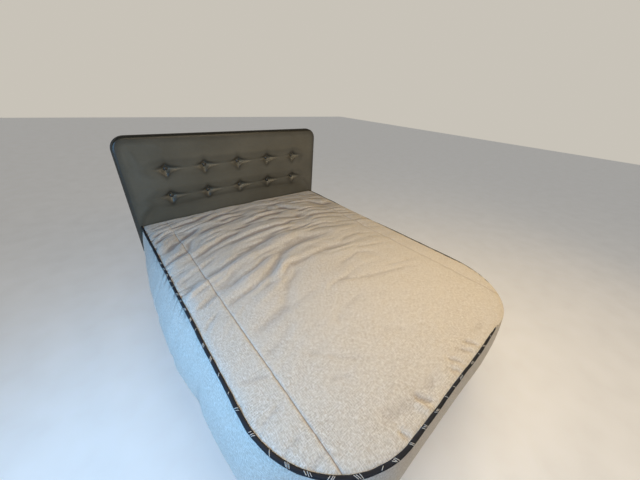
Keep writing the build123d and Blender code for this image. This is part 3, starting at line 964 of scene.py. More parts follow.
@dataclass
class Bedspread:
    """The bedspread: its quilted top, the skirt round the mattress, the cord between them and its stitches.

    The pairs named after the cord are distances along the edge between which it changes. They are counted from
    the head on the right, and for its filling and thinning from the head on the left.
    """

    plan: Outline = MATTRESS_PLAN.grown(0.0045)
    top_z: float = 0.6400
    head_y: float = 0.9682
    cell: float = 0.0075
    seam_x: float = 0.617
    crown: float = 0.009
    crown_reach: float = 0.25
    edge_rise: float = 0.010
    edge_soft: float = 0.016
    head_tuck: float = 0.013
    head_tuck_reach: float = 0.007
    seam_depth: float = 0.0016
    seam_pucker: float = 0.0010
    seam_pitch: float = 0.022
    seam_furrow: float = 0.006
    seam_reach: float = 0.025
    gather_slant: float = 0.28
    gather_depth: float = 0.0048
    gather_reach: float = 0.075
    gather_pitch: float = 0.021
    pucker_depth: float = 0.0016
    pucker_reach: float = 0.014
    puckers_round: float = 62.0
    piping_margin: float = 0.0083
    piping_z: float = 0.6406
    piping_r: float = 0.0055
    piping_points: int = 620
    cord_shown: tuple[float, float] = (1.60, 1.80)
    cord_shown_share: float = 0.62
    cord_sunk_share: float = 0.44
    cord_sinks: tuple[float, float] = (0.35, 0.50)
    cord_rises: tuple[float, float] = (0.85, 1.00)
    cord_hidden: tuple[float, float] = (2.20, 2.47)
    cord_fills: tuple[float, float] = (1.3, 1.6)
    cord_thins: tuple[float, float] = (2.1, 2.6)
    cord_tucked_in: float = 0.009
    cord_tucked_down: float = 0.005
    stitched: tuple[float, float] = (0.55, 1.9)
    stitch_slants: tuple[float, ...] = (-0.0035, 0.0035, 0.005)
    stitch_r: float = 0.0010
    skirt_top: float = 0.6335
    skirt_hem: float = 0.300
    skirt_top_margin: float = 0.0065
    skirt_reach: tuple[tuple[float, float], ...] = (
        (0.0, 0.040), (0.23, 0.074), (0.38, 0.090), (0.68, 0.108), (0.98, 0.112), (1.17, 0.096), (1.33, 0.088),
        (1.49, 0.080), (1.62, 0.064), (1.90, 0.038), (2.20, 0.022), (2.60, 0.018))
    skirt_curve: float = 3.0
    skirt_cell: tuple[float, float] = (0.009, 0.011)
    skirt_thickness: float = 0.0022
    wave_share: float = 0.08
    fold_share: float = 0.09
    skirt_gather: float = 0.011
    skirt_gather_reach: float = 0.42
    hem_sway: float = 0.004
    cloth: BedspreadCloth = BedspreadCloth()
    cord: WovenCloth = WovenCloth("piping_cloth", (0.006, 0.006, 0.009), (0.020, 0.021, 0.030), 1400.0,
                                  sheen=0.02)
    thread: WovenCloth = WovenCloth("piping_thread", (0.62, 0.60, 0.56), (0.8, 0.79, 0.76), 2600.0)

    def edge(self, margin: float = 0.0) -> Outline:
        """The mattress's outline up to the bedspread's head end, larger by margin."""
        return replace(MATTRESS_PLAN, head=self.head_y).grown(margin)

    def relief(self, x: Array, y: Array) -> Array:
        """Height of the top's surface above the floor.

        Args:
            x: Across the bed.
            y: Along the bed.

        Returns:
            The height at each point.
        """
        inset = self.plan.inset(x, y)
        z = self.top_z + self.edge_rise * (1.0 - np.exp(-inset / self.edge_soft))
        z += self.crown * (1.0 - (x / self.plan.half) ** 2) * ease(inset, 0.0, self.crown_reach)
        z += self.crumple(x, y, inset)
        for fold in FOLDS:
            z += fold.relief(x, y)
        z += self.gathers(x, y, inset)
        z += self.seams(x, y)
        z -= self.head_tuck * np.exp(-(self.head_y - y) / self.head_tuck_reach)
        return np.maximum(z, self.top_z - 0.001)

    def crumple(self, x: Array, y: Array, inset: Array) -> Array:
        """Creases of every size, deep towards the head and faint at the foot and on the right.

        Args:
            x: Across the bed.
            y: Along the bed.
            inset: Distance to the edge.

        Returns:
            The added height at each point.
        """
        bent = y + 0.015 + 0.3 * (x - 0.15) ** 2
        shift = 0.030 * ripple(x / 0.23, y / 0.23, Seed.CREASE_SWAY)
        shift += 0.010 * ripple(x / 0.09, y / 0.09, Seed.CREASE_WOBBLE)
        fainter = (0.45 - 0.30 * ease(y, 0.3, 0.7)) * ease(x, 0.15, 0.60)
        strength = 0.13 + 0.87 * ease(y, -0.435, 0.105) * (1.0 - fainter)
        strength *= ease(inset, 0.0, 0.06) * (0.35 + 0.65 * ease(self.head_y - y, 0.0, 0.13))
        head = ease(y, 0.30, 0.70)
        return strength * sum(creases.relief(x, bent, shift, head) for creases in CREASES)

    def seams(self, x: Array, y: Array) -> Array:
        """Furrows of the two seams, and the puckers beside them.

        Args:
            x: Across the bed.
            y: Along the bed.

        Returns:
            The added height at each point.
        """
        off_seam = np.abs(np.abs(x) - self.seam_x)
        pucker = ripple(np.sign(x) * 9.0 + off_seam / 0.05, y / self.seam_pitch, Seed.SEAM_PUCKERS)
        furrow = (self.seam_pucker * pucker - self.seam_depth) * np.exp(-((off_seam / self.seam_furrow) ** 2))
        return furrow + 0.7 * self.seam_pucker * pucker * np.exp(-off_seam / self.seam_reach)

    def gathers(self, x: Array, y: Array, inset: Array) -> Array:
        """Small gathers where the cloth is sewn to the cord, deepest on the left near the head.

        Args:
            x: Across the bed.
            y: Along the bed.
            inset: Distance to the edge.

        Returns:
            The added height at each point.
        """
        into = x + self.plan.half
        slant = y - self.gather_slant * into + 0.012 * ripple(x / 0.06, y / 0.10, Seed.GATHER_SWAY)
        left = ease(y, -0.315, 0.135) * (1.0 - ease(y, 0.885, 0.965)) * (x < 0)
        deep = self.gather_depth * left * np.exp(-into / self.gather_reach) * ease(into, -0.004, 0.010)
        lines = ripple(into / 0.30 + 5.0, slant / self.gather_pitch, Seed.GATHERS)
        gathered = deep * (1.0 - 2.2 * np.abs(lines))
        turn = np.arctan2(y + 0.2, x)
        puckers = ripple(turn * self.puckers_round, inset / 0.04, Seed.EDGE_PUCKERS)
        puckers *= ease(inset, -0.001, 0.004) * np.exp(-inset / self.pucker_reach)
        return gathered + self.pucker_depth * puckers

    def build_top(self) -> bpy.types.Object:
        """Returns:
            The top.
        """
        sides = ((self.seam_x, 0.009), (self.plan.half, 0.02))
        xs = grid_lines(-self.plan.half, self.plan.half, self.cell,
                        [(sign * place, reach) for place, reach in sides for sign in (-1, 1)])
        ys = grid_lines(self.plan.foot, self.head_y, self.cell, [(self.plan.foot, 0.03), (self.head_y, 0.012)])
        bm = unit_grid(len(xs) - 1, len(ys) - 1)

        def flat(u: Array, v: Array) -> tuple[Array, Array]:
            """Flat coordinates on the cloth."""
            return self.plan.fill(line_at(xs, u), line_at(ys, v))

        def shape(u: Array, v: Array) -> tuple[Array, Array, Array]:
            """Place on the bed."""
            x, y = flat(u, v)
            return x, y, self.relief(x, y)

        mould(bm, shape, flat)
        top = finish_piece("quilted_top", bm)
        mark_hollows(top, rounds=30, depth=0.0040)
        top.data.materials.append(self.cloth.build())
        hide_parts("bedspread_top")
        return top

    def skirt_offset(self, way: Array, drop: Array) -> Array:
        """How far the skirt stands out from the mattress.

        Args:
            way: Distance along the edge.
            drop: 0 at the cord, 1 at the hem.

        Returns:
            The offset in metres.
        """
        places, reaches = np.array(self.skirt_reach).T
        side = np.minimum(way, self.plan.girth() - way)
        reach = np.interp(side, places, reaches)
        lean = way + 0.10 * drop
        hang = 1.0 - (1.0 - np.clip(drop, 0.0, 1.0)) ** self.skirt_curve
        hang = self.skirt_top_margin + (reach - self.skirt_top_margin) * hang
        waves = self.wave_share * reach * ripple(lean / 0.19, drop * 0.8, Seed.SKIRT_WAVES)
        folds = 1.0 - 1.6 * np.hypot(ripple(lean / 0.075, drop * 0.6, Seed.SKIRT_FOLDS), 0.15)
        waves += self.fold_share * reach * folds * (1.0 - 0.7 * ease(side, 1.1, 1.7))
        short = np.hypot(ripple((way - 0.12 * drop) / 0.026, drop * 1.6, Seed.SKIRT_GATHERS), 0.1)
        short *= np.exp(-drop / self.skirt_gather_reach)
        short *= 1.0 - 0.85 * ease(side, 0.9, 1.5)
        return hang + waves * ease(drop, 0.0, 0.55) - self.skirt_gather * short * ease(drop, 0.0, 0.06)

    def build_skirt(self) -> bpy.types.Object:
        """Returns:
            The skirt.
        """
        girth = self.plan.girth()
        drop_length = self.skirt_top - self.skirt_hem
        bm = unit_grid(round(girth / self.skirt_cell[0]), round(drop_length / self.skirt_cell[1]))
        edge = self.edge()

        def shape(u: Array, v: Array) -> tuple[Array, Array, Array]:
            """Place of the skirt's cloth.

            Args:
                u: Along the edge, 0 to 1.
                v: 0 at the hem, 1 at the cord.

            Returns:
                x, y and z.
            """
            way, drop = u * edge.girth(), 1.0 - v
            x, y, nx, ny = edge.walk(way)
            out = self.skirt_offset(way, drop)
            hem = self.hem_sway * wobble(way / 0.22, Seed.HEM) * drop
            return x + nx * out, y + ny * out, self.skirt_top - drop_length * drop + hem

        def flat(u: Array, v: Array) -> tuple[Array, Array]:
            """Flat coordinates on the skirt's strip, away from the seams of the top."""
            return 1.0 + v * drop_length, u * girth

        mould(bm, shape, flat)
        skirt = finish_piece("skirt", bm)
        mark_hollows(skirt, rounds=16, depth=0.0035)
        wall = skirt.modifiers.new("cloth thickness", "SOLIDIFY")
        wall.thickness = self.skirt_thickness
        wall.offset = -1.0
        skirt.data.materials.append(self.cloth.build())
        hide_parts("bedspread_skirt")
        return skirt

    def cord_line(self, ways: Array) -> Array:
        """Centre line of the cord between the top and the skirt.

        Args:
            ways: Distances along the edge.

        Returns:
            One row of x, y and z for each.
        """
        plan = self.edge(self.piping_margin)
        x, y, nx, ny = plan.walk(ways * plan.girth() / self.plan.girth())
        left = self.plan.girth() - ways
        sunk = ease(left, *self.cord_sinks) * (1.0 - ease(left, *self.cord_rises))
        shown = self.cord_shown_share * (1.0 - ease(left, *self.cord_shown)) - self.cord_sunk_share * sunk
        hidden = (1.0 - ease(left, *self.cord_hidden)) * (1.0 - shown)
        sway = 0.0012 * wobble(ways / 0.11, Seed.CORD_SWAY) + 0.0006 * wobble(ways / 0.035, Seed.CORD_SWAY_FINE)
        rise = 0.0012 * wobble(ways / 0.14, Seed.CORD_RISE) + 0.0005 * wobble(ways / 0.03, Seed.CORD_RISE_FINE)
        sway -= self.cord_tucked_in * hidden
        rise -= self.cord_tucked_down * hidden
        return np.column_stack([x + nx * sway, y + ny * sway, self.piping_z + rise])

    def cord_radius(self, ways: Array) -> Array:
        """Radius of the cord, which is filled more where the cloth is pulled round the left foot corner."""
        fuller = 1.04 + (0.30 + 0.04 * ease(ways, *self.cord_fills)) * (1.0 - ease(ways, *self.cord_thins))
        return self.piping_r * fuller * (1.0 + 0.05 * wobble(ways / 0.03, Seed.CORD_FILLING))

    def build_piping(self) -> bpy.types.Object:
        """Returns:
            The cord.
        """
        ways = np.linspace(0.0, self.plan.girth(), self.piping_points)
        bm = bmesh.new()
        add_tube(bm, self.cord_line(ways), self.cord_radius(ways), sides=12)
        piping = finish_piece("piping", bm, outward=True)
        piping.data.materials.append(self.cord.build())
        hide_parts("bedspread_piping")
        return piping

    def build_stitches(self) -> bpy.types.Object:
        """Make the slanted pale stitches that cross the cord here and there.

        Returns:
            All the stitches, as one piece.
        """
        pick = np.random.default_rng(Seed.STITCHES)
        bm = bmesh.new()
        way, end = self.stitched[0], self.plan.girth() - self.stitched[1]
        while way < end:
            count = int(pick.integers(1, 4))
            slant = float(pick.choice(self.stitch_slants))
            for _ in range(count):
                self.add_stitch(bm, way, slant * float(pick.uniform(0.7, 1.3)), float(pick.uniform(0.45, 0.95)))
                way += float(pick.uniform(0.005, 0.009))
            way += float(pick.uniform(0.035, 0.085))
        stitches = finish_piece("piping_stitches", bm, outward=True)
        stitches.data.materials.append(self.thread.build())
        return stitches

    def add_stitch(self, bm: bmesh.types.BMesh, way: float, slant: float, reach: float) -> None:
        """Add one stitch that goes over the cord.

        Args:
            bm: Mesh to add to.
            way: Its place along the edge.
            slant: How far its ends are apart along the cord.
            reach: Half of the angle that it spans round the cord.
        """
        turn = np.linspace(-reach, reach, 7)
        ways = way + slant * turn / reach
        centre = self.cord_line(ways)
        _, _, nx, ny = MATTRESS_PLAN.grown(self.piping_margin).walk(ways)
        up, out = np.cos(turn + 0.25), np.sin(turn + 0.25)
        radius = self.cord_radius(ways)[:, None]
        add_tube(bm, centre + radius * np.column_stack([nx * out, ny * out, up]), self.stitch_r, sides=5)

    def build(self) -> list[bpy.types.Object]:
        """Make every piece of the bedspread and apply each piece's modifiers.

        Returns:
            The pieces.
        """
        cloths = [self.build_top(), self.build_skirt()]
        cords = [self.build_piping(), self.build_stitches()]
        for pieces, slot in ((cloths, "bedspread_cloth"), (cords, "piping_cloth")):
            for piece in pieces:
                settle(piece)
        return cloths + cords


def settle(piece: bpy.types.Object) -> None:
    """Apply a soft piece's modifiers and bake its transform into its mesh."""
    apply_modifiers(piece)
    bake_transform(piece)


# ---------------------------------------------------------------- mattress


@dataclass
class Mattress:
    """The mattress under the bedspread, with a tape round its top and bottom edges."""

    plan: Outline = MATTRESS_PLAN.grown(-0.002)
    low: float = 0.4236
    high: float = 0.6375
    lifts: tuple[float, ...] = (0.02, 0.05, 0.074, 0.05, 0.0199)
    cells: tuple[int, int] = (40, 72)
    edge_bevel: float = 0.012
    waist: float = 0.002
    tape_r: float = 0.003
    tape_inset: float = 0.014
    ticking: WovenCloth = WovenCloth("mattress_ticking", (0.66, 0.65, 0.62), (0.78, 0.77, 0.74), 1100.0)
    tape: WovenCloth = WovenCloth("mattress_tape", (0.42, 0.41, 0.39), (0.55, 0.54, 0.52), 1600.0)

    def build_body(self) -> bpy.types.Object:
        """Make the padded body.

        Returns:
            The body.
        """
        bm = unit_grid(*self.cells)

        def shape(u: Array, v: Array) -> tuple[Array, Array, Array]:
            """Place of the underside.

            Args:
                u: Across the grid, 0 to 1.
                v: Along the grid, 0 to 1.

            Returns:
                x, y and z.
            """
            x = (2 * u - 1) * self.plan.half
            y = self.plan.foot + v * (self.plan.head - self.plan.foot)
            return *self.plan.fill(x, y), np.full(x.shape, self.low)

        mould(bm, shape)
        under = list(bm.faces)
        bmesh.ops.reverse_faces(bm, faces=under)
        for step in self.lifts:
            under = self.raise_faces(bm, under, step)
        rim = [edge for edge in bm.edges if len(edge.link_faces) == 2
               and abs(edge.calc_face_angle() - math.pi / 2) < 0.35]
        bmesh.ops.bevel(bm, geom=rim, offset=self.edge_bevel, affect="EDGES", segments=3, profile=0.5,
                        material=-1)
        for vert in bm.verts:
            height = (vert.co.z - self.low) / (self.high - self.low)
            swell = self.waist * math.sin(math.pi * min(max(height, 0.0), 1.0)) - self.waist
            if float(self.plan.inset(np.array([vert.co.x]), np.array([vert.co.y]))[0]) < 0.03:
                vert.co.x += math.copysign(swell, vert.co.x)
        body = finish_piece("mattress", bm, outward=True)
        body.data.materials.append(self.ticking.build())
        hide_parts("mattress_head", "mattress_foot")
        return body

    def raise_faces(self, bm: bmesh.types.BMesh, faces: list[bmesh.types.BMFace],
                    step: float) -> list[bmesh.types.BMFace]:
        """Extrude the faces upwards.

        Args:
            bm: Mesh that they belong to.
            faces: Faces to raise.
            step: How far.

        Returns:
            The raised faces.
        """
        first = len(faces) == len(bm.faces)
        made = bmesh.ops.extrude_face_region(bm, geom=faces, use_keep_orig=first)["geom"]
        bmesh.ops.translate(bm, verts=[item for item in made if isinstance(item, bmesh.types.BMVert)],
                            vec=(0.0, 0.0, step))
        return [item for item in made if isinstance(item, bmesh.types.BMFace)]

    def build_tapes(self) -> bpy.types.Object:
        """Make the tapes sewn along the edges.

        Returns:
            Both tapes, as one piece.
        """
        bm = bmesh.new()
        x, y, _, _ = self.plan.walk(np.linspace(0.0, self.plan.girth(), 150))
        for z in (self.low + self.tape_inset, self.high - self.tape_inset):
            add_tube(bm, np.column_stack([x, y, np.full(x.shape, z)]), self.tape_r, sides=6)
        tapes = finish_piece("mattress_tapes", bm, outward=True)
        tapes.data.materials.append(self.tape.build())
        return tapes

    def build(self) -> list[bpy.types.Object]:
        """Make the mattress and apply each piece's modifiers.

        Returns:
            The pieces.
        """
        pieces = [self.build_body(), self.build_tapes()]
        for piece in pieces:
            settle(piece)
        return pieces


# ---------------------------------------------------------------- headboard


@dataclass(frozen=True)
class Tufting:
    """Sizes of the furrow that a row of buttons draws into the pad.

    The furrow is deepest at each button, and wider and steeper on the button's right side.
    """

    depth: float = 0.0185
    soft: float = 0.004
    side: tuple[float, float] = (-0.022, 0.034)
    width: float = 0.034
    wider: float = 0.024
    above: float = 0.52
    steeper_above: float = 0.30
    below: float = 0.26
    steeper_below: float = 0.24
    crease: float = 0.0058
    crease_above: float = 0.015
    crease_below: float = 0.050
    pit: float = 0.0040
    pit_r: float = 0.012
    pit_reach: float = 0.022

    def furrow(self, off: Array, beside: Array) -> Array:
        """Depth that one row of buttons draws into the vinyl.

        Args:
            off: Height above the row's line.
            beside: Distance to the nearest button across, below 0 on its left.

        Returns:
            The depth at each point.
        """
        side = ease(beside, *self.side)
        drawn = np.exp(-((np.abs(beside) / (self.width + self.wider * side)) ** 1.2))
        soft = np.hypot(off, self.soft) - self.soft
        slope = np.where(off > 0, self.above + self.steeper_above * side,
                         self.below + self.steeper_below * side)
        gap = self.depth * drawn - slope * soft
        pinch = 0.5 * (gap + np.hypot(gap, 0.0015)) * ease(drawn, 0.0, 0.20)
        crease = self.crease * np.exp(-soft / np.where(off > 0, self.crease_above, self.crease_below))
        return crease + pinch

    def hole(self, away: Array) -> Array:
        """Depth of the small pit in which a button lies, by the distance from its middle."""
        return self.pit * np.clip(1.0 - (away - self.pit_r) / self.pit_reach, 0.0, 1.0) ** 1.3


@dataclass
class Headboard:
    """The padded headboard: tufted vinyl front, covered buttons, edge cord and the wrapped back."""

    half: float = 0.8015
    top_z: float = 1.247
    low_z: float = 0.423
    corner: float = 0.085
    front_y: float = 0.972
    pad: float = 0.038
    edge_r: float = 0.009
    board: float = 0.012
    swell: float = 0.006
    cell: float = 0.0105
    button_x: float = 0.267
    rows: tuple[float, float] = (1.028, 0.830)
    row_sag: float = 0.003
    row_left: tuple[float, float] = (-0.69, -0.545)
    row_right: tuple[float, float] = (0.56, 0.64)
    button_grip: float = 0.017
    button_sink: float = 0.0145
    button_profile: tuple[tuple[float, float], ...] = (
        (0.0, 0.0085), (0.004, 0.0082), (0.0075, 0.0071), (0.0105, 0.0053), (0.0125, 0.0030), (0.0133, 0.0),
        (0.0128, -0.0030))
    welt_r: float = 0.0036
    welt_inset: float = 0.0008
    wrap_inset: float = 0.0065
    wrap_width: float = 0.042
    vinyl_thickness: float = 0.0012
    staple_pitch: float = 0.048
    staple_inset: float = 0.028
    staple_reach: float = 0.0055
    staple_r: float = 0.0006
    tufting: Tufting = Tufting()
    puff: Puff = Puff(frames=18, pressure=1.4, bending=20.0, reach=0.005)
    vinyl: GrainedVinyl = GrainedVinyl("headboard_vinyl", (0.108, 0.100, 0.076), (0.146, 0.135, 0.103), 0.33)
    button_vinyl: GrainedVinyl = GrainedVinyl("button_vinyl", (0.050, 0.047, 0.042),
                                              (0.075, 0.070, 0.062), 0.20)
    welt_vinyl: GrainedVinyl = GrainedVinyl("welt_vinyl", (0.020, 0.018, 0.015), (0.03, 0.027, 0.022), 0.38)

    def outline(self) -> Outline:
        """Front outline, with z counted downwards so that the round corners are at the top."""
        return Outline(self.half, -self.low_z, -self.top_z, self.corner)

    def buttons(self) -> list[tuple[float, float]]:
        """x and z of each button."""
        return [(self.button_x * i, z) for z in self.rows for i in range(-2, 3)]

    def sink(self, x: Array, z: Array, inset: Array) -> Array:
        """How far the vinyl lies behind the front plane.

        Args:
            x: Across the headboard.
            z: Height.
            inset: Distance to the sides and the top.

        Returns:
            The depth in metres; below 0 where the pad swells forward.
        """
        bend = np.clip(1.0 - inset / self.edge_r, 0.0, 1.0)
        depth = self.edge_r * (1.0 - np.sqrt(np.maximum(1.0 - bend * bend, 0.0)))
        depth -= self.swell * ease(inset, 0.004, 0.12) * ease(z, 0.655, 0.90)
        beside = x - self.button_x * np.clip(np.rint(x / self.button_x), -2, 2)
        reach = ease(x, *self.row_left) * (1.0 - ease(x, *self.row_right))
        sag = self.row_sag * np.abs(np.sin(math.pi * x / self.button_x))
        sag -= 0.001 * wobble(x / 0.08, Seed.BUTTON_ROWS)
        for row in self.rows:
            depth += reach * self.tufting.furrow(z - row + sag, beside)
        for bx, bz in self.buttons():
            depth += self.tufting.hole(np.hypot(x - bx, z - bz))
        return depth + 0.0005 * ripple(x / 0.12, z / 0.12, Seed.VINYL)

    def grip(self, spots: Array, inset: Array) -> Array:
        """How firmly the vinyl is held while it is blown up: at its edge, its buttons and its furrows.

        Args:
            spots: One row of x, y and z for each point.
            inset: Distance of each to the sides and the top.

        Returns:
            From 0 to 1 for each point.
        """
        x, _, z = spots.T
        held = 1.0 - ease(inset, 0.010, 0.055)
        for bx, bz in self.buttons():
            held = np.maximum(held, (np.hypot(x - bx, z - bz) < self.button_grip) * 1.0)
        for row in self.rows:
            band = 1.0 - ease(np.abs(z - row + self.row_sag), 0.020, 0.085)
            held = np.maximum(held, band * (1.0 - ease(np.abs(x), 0.58, 0.70)))
        return held

    def close_back(self, front: bpy.types.Object) -> None:
        """Carry the vinyl's edge back to the board and close the pad there.

        Args:
            front: The vinyl front.
        """
        bm = bmesh.new()
        bm.from_mesh(front.data)
        made = bmesh.ops.extrude_edge_only(bm, edges=[edge for edge in bm.edges if edge.is_boundary])["geom"]
        for vert in [item for item in made if isinstance(item, bmesh.types.BMVert)]:
            vert.co.y = self.front_y + self.pad
        bmesh.ops.contextual_create(bm, geom=[edge for edge in bm.edges if edge.is_boundary])
        bmesh.ops.recalc_face_normals(bm, faces=bm.faces)
        for face in bm.faces:
            face.smooth = True
        bm.to_mesh(front.data)
        bm.free()

    def build_front(self) -> bpy.types.Object:
        """Make the tufted front: a sheet of vinyl that is blown up between its buttons, with rolled edges.

        Returns:
            The front.
        """
        plan = self.outline()
        xs = grid_lines(-plan.half, plan.half, self.cell, [(self.button_x * i, 0.03) for i in range(-2, 3)])
        downs = grid_lines(plan.foot, plan.head, self.cell, [(-row, 0.03) for row in self.rows])
        bm = unit_grid(len(xs) - 1, len(downs) - 1)

        def shape(u: Array, v: Array) -> tuple[Array, Array, Array]:
            """Place of the vinyl."""
            x, down = plan.fill(line_at(xs, u), line_at(downs, v))
            return x, self.front_y + self.sink(x, -down, plan.inset(x, down)), -down

        mould(bm, shape)
        front = finish_piece("tufted_front", bm)
        spots = read_places(front)
        puff_up(front, self.grip(spots, plan.inset(spots[:, 0], -spots[:, 2])), self.puff)
        mark_hollows(front, rounds=24, depth=0.0036)
        smooth = front.modifiers.new("finer vinyl", "SUBSURF")
        smooth.levels = smooth.render_levels = 1
        apply_modifiers(front)
        self.close_back(front)
        front.data.materials.append(self.vinyl.build())
        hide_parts("headboard_pad")
        return front

    def build_buttons(self) -> bpy.types.Object:
        """Make the domed covered buttons.

        Returns:
            All the buttons, as one piece.
        """
        bm = bmesh.new()
        for x, z in self.buttons():
            line = [bm.verts.new((x + r, self.front_y + self.button_sink - rise, z))
                    for r, rise in self.button_profile]
            edges = [bm.edges.new(pair) for pair in zip(line[:-1], line[1:])]
            bmesh.ops.spin(bm, geom=line + edges, cent=(x, 0.0, z), axis=(0.0, 1.0, 0.0), angle=2 * math.pi,
                           steps=28, use_merge=True)
        bmesh.ops.remove_doubles(bm, verts=bm.verts, dist=1e-6)
        bmesh.ops.holes_fill(bm, edges=[edge for edge in bm.edges if edge.is_boundary], sides=0)
        buttons = finish_piece("covered_buttons", bm, outward=True)
        buttons.data.materials.append(self.button_vinyl.build())
        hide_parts("headboard_buttons")
        return buttons

    def build_welt(self) -> bpy.types.Object:
        """Make the dark cord behind the pad's edge.

        Returns:
            The cord.
        """
        plan = self.outline().grown(-self.welt_inset)
        x, down, _, _ = plan.walk(np.linspace(0.0, plan.girth(), 240))
        bm = bmesh.new()
        line = np.column_stack([x, np.full(x.shape, self.front_y + self.pad + 0.003), -down])
        add_tube(bm, line, self.welt_r, sides=10)
        welt = finish_piece("edge_cord", bm, outward=True)
        welt.data.materials.append(self.welt_vinyl.build())
        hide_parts("headboard_welt")
        return welt

    def build_wrap(self) -> bpy.types.Object:
        """Make the strip of vinyl that is turned over the back of the board.

        Returns:
            The strip.
        """
        plan = self.outline().grown(-self.wrap_inset)
        back = self.front_y + self.pad + self.board + self.vinyl_thickness
        girth = plan.girth()
        bm = unit_grid(300, 5)

        def shape(u: Array, v: Array) -> tuple[Array, Array, Array]:
            """Place of the turned-over vinyl.

            Args:
                u: Along the edge, 0 to 1.
                v: 0 at the edge, 1 where the strip ends.

            Returns:
                x, y and z.
            """
            way = u * girth
            x, down, nx, ny = plan.walk(way)
            width = v * (self.wrap_width + 0.004 * wobble(way / 0.09, Seed.WRAP_WIDTH))
            pleat = 0.0006 * (1.0 + wobble(way / 0.011, Seed.WRAP_PLEATS)) * ease(v, 0.1, 0.7)
            return x - nx * width, np.full(x.shape, back) + pleat, -(down - ny * width)

        mould(bm, shape)
        wrap = finish_piece("vinyl_turned_over", bm)
        thick = wrap.modifiers.new("vinyl thickness", "SOLIDIFY")
        thick.thickness = self.vinyl_thickness
        thick.offset = 0.0
        wrap.data.materials.append(self.vinyl.build())
        return wrap

    def build_staples(self) -> bpy.types.Object:
        """Make the staples that hold the turned-over vinyl, each a little askew.

        Returns:
            All the staples, as one piece.
        """
        plan = self.outline().grown(-self.wrap_inset)
        back = self.front_y + self.pad + self.board + 0.0028
        bm = bmesh.new()
        for i, way in enumerate(np.arange(0.05, plan.girth() - 0.05, self.staple_pitch)):
            x, down, nx, ny = (float(value[0]) for value in plan.walk(np.array([way])))
            centre = Vector((x - nx * self.staple_inset, back, -(down - ny * self.staple_inset)))
            angle = math.atan2(-ny, nx) + (0.5 if i % 3 else -0.3)
            reach = Vector((math.cos(angle), 0.0, math.sin(angle))) * self.staple_reach
            add_tube(bm, np.array([centre - reach, centre + reach]), self.staple_r, sides=5)
        staples = finish_piece("back_staples", bm, outward=True)
        staples.data.materials.append(ZINC.build())
        return staples

    def build(self) -> list[bpy.types.Object]:
        """Make the headboard's pieces, all of which stay on the base.

        Returns:
            The pieces.
        """
        pieces = [self.build_front(), self.build_buttons(), self.build_welt(), self.build_wrap(),
                  self.build_staples()]
        for piece in pieces:
            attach(piece, "base")
        return pieces


# ---------------------------------------------------------------- base, deck and lift

ZINC = Metal("zinc_plate", (0.52, 0.52, 0.50), (0.66, 0.65, 0.60), 0.34)


